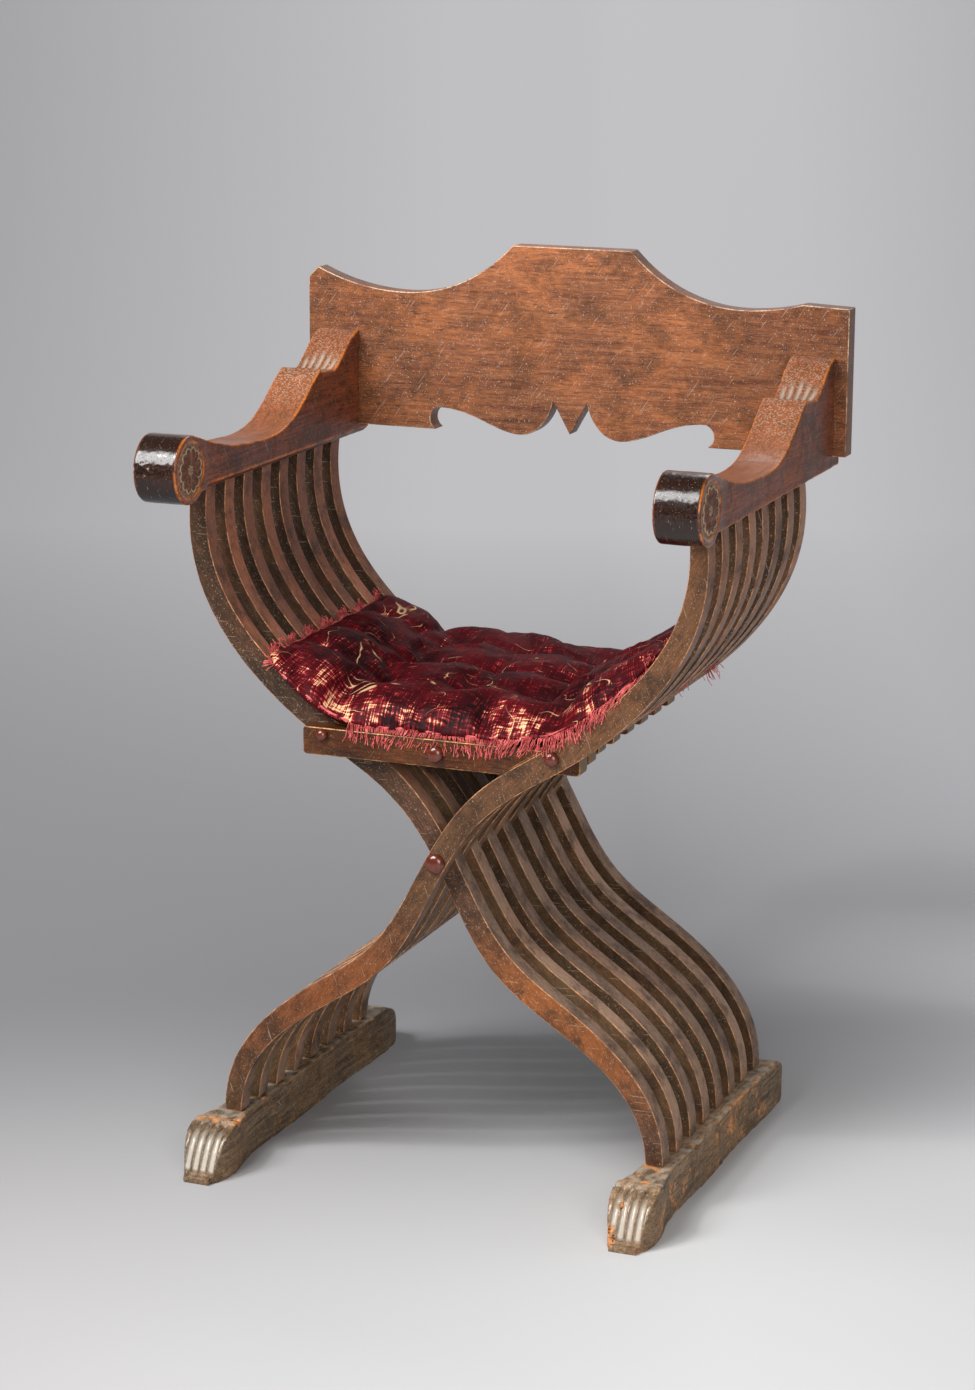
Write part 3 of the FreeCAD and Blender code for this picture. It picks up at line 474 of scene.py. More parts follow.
def work_arm(places, normals, distances):
    """Dents and softened arrises all over, and five fanned flutes behind the lip."""
    dents = noise_at(places * MM, 16, 1) * 0.3 + noise_at(places * MM, 5, 2) * 0.12
    rub = 1 - smooth_step(distances, 0.2, 2.6)
    # the scrolls' left-hand rims have kept their polish
    left_of_middle = places[:, 0] < np.sign(places[:, 0]) * ARM_MIDDLE
    rub *= 1 - 0.8 * left_of_middle * (1 - smooth_step(places[:, 1], -190, -170))
    nicks = np.clip(noise_at(places * MM, 7, 3) - 0.15, 0, 1) * rub
    across = (np.abs(places[:, 0]) - ARM_MIDDLE) / ARM_HALF_WIDTH
    along = (places[:, 1] - ARM_LIP) / (ARM_BACK - ARM_LIP)
    on_leaf = smooth_step(normals[:, 2], 0.25, 0.5) * smooth_step(along, 0.02, 0.06)
    # the flutes' centre lines as shares of the half width: at the lip, and at their tips
    fan = [(-0.5, -0.8), (-0.26, -0.42), (0.0, 0.0), (0.26, 0.42), (0.5, 0.8)]
    tip = 0.72
    hollow = np.zeros(len(places))
    for near, far in fan:
        middle = near + (far - near) * np.clip(along / tip, 0, 1)
        half_width = 0.07 + 0.08 * np.clip(along / tip, 0, 1)
        bowl = np.clip(1 - ((across - middle) / half_width) ** 2, 0, 1)
        bowl *= 1 - smooth_step(along, tip - 0.22 - 0.1 * abs(far), tip - 0.06 - 0.1 * abs(far))
        hollow = np.maximum(hollow, bowl)
    hollow *= on_leaf
    in_front = 1 - smooth_step(places[:, 1], -222, -205)
    # knocks have pitted the middle of the scroll's round front
    knocked = in_front * np.exp(-((places[:, 2] - SCROLL_CENTRE[1] - 2) / 9) ** 2)
    pits = np.clip(noise_at(places * MM, 3.4, 16) - 0.05, 0, 1) * knocked
    moves = dents - 0.3 * rub - 0.7 * nicks - 1.5 * hollow - 1.6 * pits
    return moves, {
        "arris": np.clip(rub * 1.1, 0, 1), "hollow": hollow, "tone": np.full(len(places), 0.5),
        "polish": 1 - smooth_step(places[:, 1], -195, -150),
    }


def work_foot(places, normals, distances):
    """Dry, chipped wood: rounded arrises, glossy fluted toes with a painted highlight in the flutes
    and painted shade along their edges, and a worm-eaten corner.
    """
    in_paw = 1 - smooth_step(places[:, 1], -PAW_TOP - 2, -PAW_TOP + 1)
    ahead = smooth_step(normals[:, 2] - normals[:, 1], 0.2, 0.7)
    lumps = noise_at(places * MM, 22, 4) * 0.7 + noise_at(places * MM, 6, 5) * 0.25
    lumps *= 1 - 0.6 * in_paw
    rub = 1 - smooth_step(distances, 0.5, 4.0)
    rub *= 1 - 0.8 * in_paw * ahead
    chips = np.clip(noise_at(places * MM, 9, 6) - 0.1, 0, 1) * rub
    on_floor = smooth_step(places[:, 2], 0.2, 3.0)
    patch = smooth_step(noise_at(places * MM, 26, 7), 0.2, 0.42)
    across = np.abs(places[:, 0]) - FOOT_MIDDLE
    off_flute = np.min([
        np.abs(across - share * FLUTE_SPACING) for share in (-1.5, -0.5, 0.5, 1.5)
    ], axis=0)
    on_toes = in_paw * ahead * smooth_step(places[:, 2], 9, 14)
    flute = np.clip(1 - (off_flute / FLUTE_HALF_WIDTH) ** 2, 0, 1) * on_toes
    # painted shade: a dark thin line along each flute's edges
    painted_flute_edge_shade = np.exp(-((off_flute - FLUTE_HALF_WIDTH) / 0.7) ** 2) * on_toes
    # painted highlight: the flutes' hollows are made pale, standing in for the lamp's glint
    painted_flute_highlight = flute * (1 - smooth_step(places[:, 1], -228, -208))
    eaten = np.zeros(len(places))
    for corner, reach in (
        ((204, -240, 12), 17), ((216, -224, 40), 6), ((248, 35, 30), 14), ((-207, -192, 50), 9),
    ):
        eaten = np.maximum(eaten, 1 - smooth_step(
            np.linalg.norm(places - np.array(corner), axis=1), reach * 0.55, reach
        ))
    holes = smooth_step(noise_at(places * MM, 3.2, 8), 0.05, 0.35)
    # the collar behind the toes has crumbled on the left foot
    collar = np.exp(-((places[:, 1] + PAW_COLLAR) / 6) ** 2) * smooth_step(normals[:, 2], 0.2, 0.6)
    crumbled = collar * np.where(places[:, 0] < 0, 1.0, 0.35)
    crumbled *= smooth_step(noise_at(places * MM, 6, 9), -0.3, 0.05)
    flank = smooth_step(noise_at(places * MM, 17, 10), 0.14, 0.3)
    flank *= smooth_step(noise_at(places * MM, 4, 17), -0.15, 0.2)
    # the left foot is darker and sounder than the right
    flank *= (1 - in_paw) * np.where(places[:, 0] < 0, 0.2, 1.0)
    moves = (lumps - 0.6 * rub - 2.0 * chips - eaten * (0.5 + 2.2 * holes)) * on_floor
    moves -= 0.6 * crumbled + 0.3 * flank + 1.2 * flute
    bare = np.maximum.reduce([eaten * 1.2, patch * rub * 1.2, crumbled * 1.1, flank * 0.9])
    bare *= 1 - 0.8 * painted_flute_highlight * (1 - eaten)
    pale_share = smooth_step(normals[:, 2], 0.4, 0.9) * (1 - in_paw)
    pale_share *= 0.5 * smooth_step(noise_at(places * MM, 9, 19), -0.3, 0.3)
    # pale dust on upward faces, and in the flutes the painted highlight
    dust = np.maximum(painted_flute_highlight * (1 - eaten), pale_share * (1 - np.clip(bare, 0, 1)))
    # tone: the left foot darker, and the painted shade along the flutes' edges
    return moves, {
        "arris": np.clip(bare, 0, 1), "hollow": dust,
        "tone": np.where(places[:, 0] < 0, 0.55, 1.0) - 0.6 * painted_flute_edge_shade,
        "wormy": np.clip(eaten + 0.6 * crumbled, 0, 1),
        "polish": on_toes * (1 - np.clip(bare, 0, 1)),
    }


ALONG_Y = (0, 0, math.radians(90))
STAVE_LEAN = math.radians(54)
STAVE_TONES = ("#35261b", "#74503a", "#9a5a34", "#eaa674", "#b0a08c")
# in sides, the gap colours are painted shade and the edge colours a painted highlight
WALNUT_STAVE = walnut(
    "sawn walnut, waxed and dusty", STAVE_TONES, turn=(0, STAVE_LEAN, 0),
    roughness=0.42, coat=0.12, gouged=0.5, grimed=0.75,
    sides=("#80573a", "#684a30", "#9a562a", "#32271c", "#59452e", "#c08a6a", "#b8947a"),
)
WALNUT_STAVE_LEFT = walnut(
    "sawn walnut, waxed and dusty, left-hand staves", STAVE_TONES, turn=(0, -STAVE_LEAN, 0),
    roughness=0.42, coat=0.12, gouged=0.5, grimed=0.75,
    sides=("#33291f", "#5c4030", "#a8602c", "#32271c", "#59452e", "#b06c4c", "#b8947a"),
)
# the slats' pale arris colour is worn wood and also a painted glint along their arrises
WALNUT_SLAT = walnut(
    "sawn walnut seat slats", ("#2e1a0e", "#56290e", "#824416", "#e6a864", "#94805e"),
    roughness=0.38, coat=0.2, gouged=0.6, scratched=0.2,
)
WALNUT_ARM = walnut(
    "carved walnut, hand-polished", ("#4a2417", "#944e38", "#b06038", "#d47624", "#b8a898"),
    turn=ALONG_Y, roughness=0.38, coat=0.15, gouged=0.5, worn=1.5, rest=(10, 75),
)
WALNUT_BOARD = walnut(
    "quarter-sawn walnut board, waxed", ("#6c402c", "#96603f", "#b66c3c", "#f6d0ac", "#c8b0a0"),
    roughness=0.36, coat=0.25, gouged=0.35, scratched=0.35, grimed=0.5,
)
WALNUT_FOOT = walnut(
    "worn walnut, dry and worm-eaten", ("#4c3c2c", "#947c62", "#a8825c", "#d8945c", "#cbc2b4"),
    turn=ALONG_Y, roughness=0.5, gouged=0.8, worn=1.6, grimed=0.45,
)
WALNUT_ROSETTE = walnut(
    "carved walnut rosette, dusty", ("#42241a", "#7c4834", "#8e5840", "#9a7660", "#dcc4a0"),
    turn=ALONG_Y, roughness=0.42, coat=0.2, gouged=0.3, grimed=0.2,
)


def turned_wood():
    """Fruitwood turned on a lathe and polished by touch: deep red brown, sharp gloss."""
    material, tree, shader = new_material("turned fruitwood, polished")
    place = add(tree, "ShaderNodeTexCoord").outputs["Object"]
    mottle = add(tree, "ShaderNodeTexNoise", {
        "Vector": place, "Scale": 1 / (5 * MM), "Detail": 3.0,
    })
    colour = add(tree, "ShaderNodeMix", {
        0: mottle, 6: linear("#2c0f08"), 7: linear("#783018"),
    }, data_type="RGBA")
    worn = add(tree, "ShaderNodeBump", {"Strength": 0.3, "Distance": 0.4 * MM, "Height": mottle})
    feed(tree, shader, {
        "Base Color": colour, "Roughness": 0.24, "Coat Weight": 0.5, "Coat Roughness": 0.1,
        "Normal": worn,
    })
    return material


PEG = turned_wood()


def bridge(mesh, lower, upper):
    """A band of faces between two rings of corners."""
    for i in range(len(lower)):
        j = (i + 1) % len(lower)
        mesh.faces.new((lower[i], lower[j], upper[j], upper[i]))


def make_peg(node, body):
    """Domed peg head, turned: a short rim, a shoulder and a slightly flattened dome."""
    low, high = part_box(node)
    radius = (high.x - low.x) / 2
    middle_x, middle_z = (low.x + high.x) / 2, (low.z + high.z) / 2
    facing = -1 if low.y < 0 else 1
    seat = high.y if facing < 0 else low.y
    height = high.y - low.y
    profile = [(1.0, 0.0), (1.0, 0.22), (0.985, 0.33), (0.93, 0.5), (0.82, 0.68),
               (0.66, 0.83), (0.46, 0.93), (0.24, 0.985)]
    around = 32
    mesh = bmesh.new()
    rings = []
    for across, up in profile:
        ring = []
        for i in range(around):
            turn = 2 * math.pi * i / around
            ring.append(mesh.verts.new((
                middle_x + radius * across * math.cos(turn),
                seat + facing * height * up,
                middle_z + radius * across * math.sin(turn),
            )))
        rings.append(ring)
    for lower, upper in zip(rings, rings[1:]):
        bridge(mesh, lower, upper)
    tip = mesh.verts.new((middle_x, seat + facing * height, middle_z))
    for i in range(around):
        mesh.faces.new((rings[-1][i], rings[-1][(i + 1) % around], tip))
    mesh.faces.new(rings[0])
    bmesh.ops.recalc_face_normals(mesh, faces=mesh.faces)
    data = mesh_data(mesh, f"{node}_turned")
    peg = finished(f"{node}_turned", data, PEG)
    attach(peg, body)
    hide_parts(node)


def rosette_relief(radius, turn):
    """Relief in mm above the dish and dust from 0 to 1: six cleft petals in a beaded border."""
    share = (turn / (2 * math.pi) * 6 + 0.5) % 1 - 0.5
    arc = radius * 2 * math.pi / 6
    # how far inside the petal, from its sides, its cleft outer end and its root
    petal_end = 21.6 - 64 * (abs(share) - 0.23) ** 2
    inside = min((0.5 - abs(share)) * arc - 0.6, petal_end - radius, radius - 5.4)
    height, dust = 0.25, 0.1
    if inside > 0:
        hollowed = min(1.0, max(0.0, (inside - 0.8) / 3.2))
        height = 1.7 * (1 - math.exp(-inside / 0.45)) - 0.9 * hollowed
        height += 0.35 * math.exp(-(share * arc / 0.9) ** 2) * hollowed
        dust = 0.12 * math.exp(-inside / 0.8)
    elif 5.6 < radius < 17.5:
        dust = 0.13
    # a raised thread follows the petals' scalloped ends, pale with dust
    outline = math.exp(-((radius - petal_end - 1.0) / 0.8) ** 2)
    height = max(height, 1.5 * outline)
    dust = max(dust, 1.3 * outline)
    if radius < 5.0:
        beads = 0.5 + 0.5 * math.cos(7 * turn)
        height = 1.5 * math.sqrt(1 - (radius / 5.0) ** 2) + 0.6 * beads * (radius > 2.2)
        dust = 0.25 + 0.4 * beads
    bead_turn = (turn / (2 * math.pi) * 28) % 1 - 0.5
    bead = 1 - ((radius - 25.0) / 1.5) ** 2 - (bead_turn * 2 * math.pi * 25.0 / 28 / 2.4) ** 2
    if bead > 0:
        height = max(height, 1.2 * math.sqrt(bead))
        dust = max(dust, 0.3)
    return height, dust


def make_rosette(arm, flank, body):
    """Carved rosette in the dish of one of the arm's side faces."""
    sign = 1 if arm.startswith("right") else -1
    rings, around = 56, 252
    outer = 26.9
    floor = sign * ARM_MIDDLE + flank * (ARM_HALF_WIDTH - 1.5)
    points, hollows = [], []
    for ring in range(rings + 1):
        radius = outer * (ring + 0.5) / (rings + 0.5)
        for i in range(around):
            turn = 2 * math.pi * i / around
            place = Vector((radius * math.cos(turn) / 9, radius * math.sin(turn) / 9, flank + sign))
            height, dust = rosette_relief(radius, turn)
            height += 0.12 + 0.15 * noise.noise(place * 2.3)
            if ring == rings:
                height = -0.3
            points.append((
                (floor + flank * height) * MM,
                (SCROLL_CENTRE[0] + radius * math.cos(turn)) * MM,
                (SCROLL_CENTRE[1] + radius * math.sin(turn)) * MM,
            ))
            hollows.append(dust * (0.8 + 0.5 * noise.noise(place * 4.1)))
    mesh = bmesh.new()
    corners = [mesh.verts.new(point) for point in points]
    circles = [corners[a:a + around] for a in range(0, len(corners), around)]
    for lower, upper in zip(circles, circles[1:]):
        bridge(mesh, lower, upper)
    mesh.faces.new(circles[0])
    # closed behind by a flat back under the dish's floor
    back = [mesh.verts.new(((floor - flank * 0.3) * MM, v.co.y, v.co.z)) for v in circles[-1]]
    bridge(mesh, circles[-1], back)
    mesh.faces.new(back)
    bmesh.ops.recalc_face_normals(mesh, faces=mesh.faces)
    side = "outer" if flank == sign else "inner"
    data = mesh_data(mesh, f"{arm}_{side}_rosette")
    values = np.clip(np.array(hollows + [1.0] * around), 0, 1)
    set_attribute(data, "hollow", values)
    set_attribute(data, "tone", np.full(len(values), 0.5))
    rosette = finished(f"{arm}_{side}_rosette", data, WALNUT_ROSETTE)
    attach(rosette, body)


def sheen_painted_middle(places):
    """The board's tone: palest in the middle, a painted sheen, darker below and darkest at its
    right end.
    """
    broad = noise_at(places * MM, 120, 18) * 0.25
    # painted sheen: a pale band across the middle of the board, from about 770 mm up
    middle = np.exp(-(places[:, 0] / 120) ** 2) * smooth_step(places[:, 2], 770, 840)
    ends = smooth_step(np.abs(places[:, 0] - 20), 190, 270)
    return np.clip(0.3 + 0.7 * middle + broad - 0.35 * ends, 0, 1)


def body_of(node):
    return next(body for body, members in BODIES.items() if node in members)


def dress_wood():
    shades = random.Random(8)
    for node in sorted(frame["nodes"]):
        body = body_of(node)
        if "_stave_" in node:
            left = node.startswith("left")
            piece = eased(
                node, 1.1, WALNUT_STAVE_LEFT if left else WALNUT_STAVE, body, shades.random()
            )
        elif "_slat_" in node and "pin" not in node:
            number = int(node.rsplit("_", 1)[1])
            cut = (0.0, 6.0, 11.0)[min(number, 3) - 1] if node.startswith("right") else 0.0
            piece = eased(node, 1.3, WALNUT_SLAT, body, shades.random(), cut=cut)
        elif node.endswith("_arm"):
            piece = carved(node, 1.4, work_arm, WALNUT_ARM, body)
            for flank in (-1, 1):
                make_rosette(node, flank, body)
        elif node == "back_board":
            piece = eased(node, 1.3, WALNUT_BOARD, body, sheen_painted_middle)
        elif node.endswith("_foot"):
            piece = carved(node, 1.3, work_foot, WALNUT_FOOT, body)
        elif node.endswith("_head"):
            make_peg(node, body)
        elif node != "squab_cushion":
            rod = frame["nodes"][node]
            rod.data.materials.clear()
            rod.data.materials.append(PEG)


# Squab


def velvet():
    """Silk velvet, worn: deep crimson pile, rubbed to pink and to straw ground threads."""
    material, tree, shader = new_material("worn crimson silk velvet")
    place = add(tree, "ShaderNodeTexCoord").outputs["Object"]
    cloth = add(tree, "ShaderNodeUVMap", uv_map="weave")
    wear = add(tree, "ShaderNodeAttribute", attribute_name="wear").outputs["Fac"]
    _, pile_mask = patchwork(tree, place, 45, (0.35, 0.65), Detail=4.0, Roughness=0.6)
    # ground threads are 0.3 mm apart; their rubbed rows are drawn 1.5 mm apart to show
    warp, weft = [
        patchwork(tree, cloth, size, (), Detail=2.0)[0] for size in ((1.5, 24), (15, 1.7))
    ]
    rows = add(tree, "ShaderNodeMath", {0: warp, 1: weft}, operation="ADD")
    rows_even = add(tree, "ShaderNodeMapRange", {
        0: rows, 1: 0.7, 2: 1.3, 3: -0.5, 4: 0.5,
    }, clamp=False)
    worn = add(tree, "ShaderNodeMath", {0: wear, 1: rows_even}, operation="ADD")
    # creases where the pile has broken: thin wandering lines, 1.5 mm wide, here and there
    contours, _ = patchwork(tree, cloth, (95, 46), (), Detail=1.5, Distortion=0.6)
    off = add(tree, "ShaderNodeMath", {0: contours, 1: 0.5}, operation="SUBTRACT")
    distance = add(tree, "ShaderNodeMath", {0: off}, operation="ABSOLUTE")
    line = add(tree, "ShaderNodeMapRange", {0: distance, 1: 0.0015, 2: 0.006, 3: 0.75, 4: 0.0})
    _, broken = patchwork(tree, cloth, (34, 34), (0.5, 0.6), Detail=2.0)
    crease = add(tree, "ShaderNodeMath", {0: line, 1: broken}, operation="MULTIPLY")
    pinkness = add(tree, "ShaderNodeMapRange", {0: worn, 1: 0.3, 2: 0.75, 4: 0.8})
    rubbed = add(tree, "ShaderNodeMapRange", {0: worn, 1: 0.72, 2: 0.95})
    bareness = add(tree, "ShaderNodeMath", {0: rubbed, 1: crease}, operation="MAXIMUM")
    colour = linear("#1a0205")
    for share, over in ((pile_mask, "#48060d"), (pinkness, "#ac2630"), (bareness, "#e0bc8c")):
        colour = add(tree, "ShaderNodeMix", {
            0: share, 6: colour, 7: linear(over),
        }, data_type="RGBA")
    fine = add(tree, "ShaderNodeTexNoise", {
        "Vector": place, "Scale": 1 / (1.4 * MM), "Detail": 1.0,
    })
    nap = add(tree, "ShaderNodeBump", {"Strength": 0.4, "Distance": 0.5 * MM, "Height": fine})
    raised = add(tree, "ShaderNodeMath", {0: rows, 1: crease}, operation="ADD")
    threads = add(tree, "ShaderNodeBump", {
        "Strength": 0.35, "Distance": 0.6 * MM, "Height": raised, "Normal": nap,
    })
    feed(tree, shader, {
        "Base Color": colour, "Roughness": 0.55, "Specular IOR Level": 0.1,
        "Sheen Weight": 0.03, "Sheen Roughness": 0.3, "Sheen Tint": linear("#b0384a"),
        "Normal": threads,
    })
    return material


def silk_fringe():
    """Twisted silk threads, faded from crimson to salmon pink."""
    material, tree, shader = new_material("faded silk fringe")
    place = add(tree, "ShaderNodeTexCoord").outputs["Object"]
    _, faded = patchwork(tree, place, 7, (0.35, 0.68), Detail=3.0)
    colour = add(tree, "ShaderNodeMix", {
        0: faded, 6: linear("#9c282c"), 7: linear("#e46c66"),
    }, data_type="RGBA")
    feed(tree, shader, {
        "Base Color": colour, "Roughness": 0.55, "Sheen Weight": 0.15,
        "Sheen Tint": linear("#f0a8a0"),
    })
    return material


VELVET = velvet()
FRINGE = silk_fringe()
# sewn tufts, as places across and from front to back
TUFTS = [(x, y) for x in (-158, -86, 0, 86, 166) for y in (-80, -3, 73)]


def underside_heights(places):
    """Height of the squab's underside above each place's x, from its own lowest points."""
    slots = np.round(places[:, 0] / 4).astype(int)
    lowest = {}
    for slot, height in zip(slots, places[:, 2]):
        lowest[slot] = min(height, lowest.get(slot, height))
    return np.array([lowest[slot] for slot in slots])


def puffed(squab):
    """Blows the remeshed squab up between its pinned underside and its tufts."""
    rest = vertex_arrays(squab.data)[0]
    places = rest / MM
    above = places[:, 2] - underside_heights(places)
    pinned = squab.vertex_groups.new(name="pinned")
    for number, (place, gap) in enumerate(zip(places, above)):
        steep = abs(place[0]) > 150
        held = gap < (9 if steep else 3.5)
        tuft = min(math.hypot(place[0] - x, place[1] - y) for x, y in TUFTS)
        if held or tuft < 5:
            pinned.add([number], 1.0, "REPLACE")
    cloth = squab.modifiers.new("stuffing", "CLOTH")
    for name, value in {
        "quality": 6, "mass": 0.25, "tension_stiffness": 12, "compression_stiffness": 6,
        "shear_stiffness": 4, "bending_stiffness": 0.4, "use_pressure": True,
        "uniform_pressure_force": 4.0, "shrink_min": -0.05, "vertex_group_mass": pinned.name,
    }.items():
        setattr(cloth.settings, name, value)
    cloth.settings.effector_weights.gravity = 0.0
    cloth.collision_settings.use_self_collision = False
    steps = 20
    cloth.point_cache.frame_end = steps
    for step in range(1, steps + 1):
        bpy.context.scene.frame_set(step)
    graph = bpy.context.evaluated_depsgraph_get()
    mesh = bpy.data.meshes.new_from_object(squab.evaluated_get(graph))
    moved = vertex_arrays(mesh)[0]
    bpy.data.meshes.remove(mesh)
    bpy.context.scene.frame_set(1)
    squab.modifiers.clear()
    squab.vertex_groups.clear()
    shift = moved - rest
    length = np.linalg.norm(shift, axis=1)
    most = 9.0 * MM
    shift *= np.minimum(1.0, most / np.maximum(length, 1e-9))[:, None]
    squab.data.vertices.foreach_set("co", (rest + shift).ravel())
    squab.data.update()


def pucker_lines(places):
    """Height share of the thin wavy folds that run across the seat."""
    height = np.zeros(len(places))
    wander = noise_at(places * MM * np.array([1.0, 0.15, 0.0]), 55, 11)
    for number, (y, start, end) in enumerate((
        (-92, -128, -18), (-78, -40, 150), (-84, 10, 130), (-40, -150, -60), (20, 30, 175),
        (42, -120, -20), (-20, 60, 150),
    )):
        along = smooth_step(places[:, 0], start, start + 25)
        along *= 1 - smooth_step(places[:, 0], end - 25, end)
        off = places[:, 1] - y - 9 * wander - 5 * np.sin(places[:, 0] / 31 + 2 * number)
        height = np.maximum(height, along * np.exp(-(off / 2.4) ** 2))
    return height


def wear_map(places, folds):
    """How far the pile is rubbed away: on the front roll, the left end and the folds."""
    streaky = noise_at(places * MM * np.array([1.0, 0.55, 1.0]), 13, 12) * 0.5 + 0.5
    broad = noise_at(places * MM, 48, 13) * 0.5 + 0.5
    front = 1 - smooth_step(places[:, 1], -158, -95)
    left_end = 1 - smooth_step(places[:, 0], -215, -165)
    left_end *= 1 - smooth_step(places[:, 1], -120, -50)
    edge = (1 - smooth_step(places[:, 0], -120, -60)) * (1 - smooth_step(places[:, 1], -158, -138))
    patch = smooth_step(streaky * 0.6 + broad * 0.4, 0.46, 0.7)
    zone = 0.5 * front + 0.5 * left_end + 0.3 * edge + 0.1
    worn = zone * (0.25 + 0.95 * patch) + 0.35 * folds * streaky
    return np.clip(worn, 0, 1)


def make_squab():
    """Thin squab, sewn through in three rows and turned up against the staves."""
    mesh = clean_copy("squab_cushion")
    data = mesh_data(mesh, "squab")
    squab = finished("squab", data, VELVET)
    remesh = squab.modifiers.new("even faces", "REMESH")
    remesh.mode = "VOXEL"
    remesh.voxel_size = 5.0 * MM
    baked(squab)
    puffed(squab)
    finer = squab.modifiers.new("finer", "SUBSURF")
    finer.levels = finer.render_levels = 1
    baked(squab)
    data = squab.data
    places, normals = vertex_arrays(data)
    places /= MM
    top = smooth_step(normals[:, 2], 0.1, 0.5)
    folds = pucker_lines(places) * top
    tuft = np.full(len(places), 99.0)
    for x, y in TUFTS:
        tuft = np.minimum(tuft, np.hypot(places[:, 0] - x, places[:, 1] - y))
    sewn = np.exp(-(tuft / 7.0) ** 2) * top
    lumps = noise_at(places * MM, 30, 14) * 1.6 + noise_at(places * MM, 11, 15) * 0.6
    moves = (lumps + 2.2 * folds - 3.5 * sewn) * top
    # the stuffing has gathered at the back, left of the middle
    heap = 9 * smooth_step(places[:, 1], 30, 120) * np.exp(-((places[:, 0] + 60) / 95) ** 2)
    places[:, 2] += heap * top
    moved = places + normals * moves[:, None]
    data.vertices.foreach_set("co", (moved * MM).ravel())
    wear = wear_map(places, folds) * smooth_step(normals[:, 2], -0.4, 0.1)
    tips = np.exp(-((tuft - 3.5) / 3.0) ** 2) * top
    set_attribute(data, "wear", np.maximum(wear, 0.62 * tips))
    weave = data.uv_layers.new(name="weave")
    side = np.sign(places[:, 0]) * np.maximum(places[:, 2] - 500, 0) * 0.6
    cloth_places = np.stack([(places[:, 0] + side) * MM, places[:, 1] * MM], axis=1)
    corners = np.empty(len(data.loops), int)
    data.loops.foreach_get("vertex_index", corners)
    weave.data.foreach_set("uv", cloth_places[corners].ravel().astype(np.float32))
    data.update()
    data.shade_smooth()
    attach(squab, "squab_cushion")
    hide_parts("squab_cushion")
    return moved


def rim_path(places, axis, low, high, pick, across):
    """Points on the squab's rim: in each 6 mm slice along axis, the outermost vertex."""
    points = []
    for start in np.arange(low, high, 6.0):
        inside = places[(places[:, axis] >= start) & (places[:, axis] < start + 6.0)]
        if len(inside):
            points.append(inside[pick(inside[:, across])])
    points = np.array(points)
    smooth = points.copy()
    for _ in range(4):
        smooth[1:-1] = (smooth[:-2] + 2 * smooth[1:-1] + smooth[2:]) / 4
    return smooth


def layer_is_open(y, side):
    """True where y lies between two staves of that side."""
    layer = int((y - STACK_FRONT) // LAYER_PITCH) + 1
    return layer % 2 == (0 if side > 0 else 1)


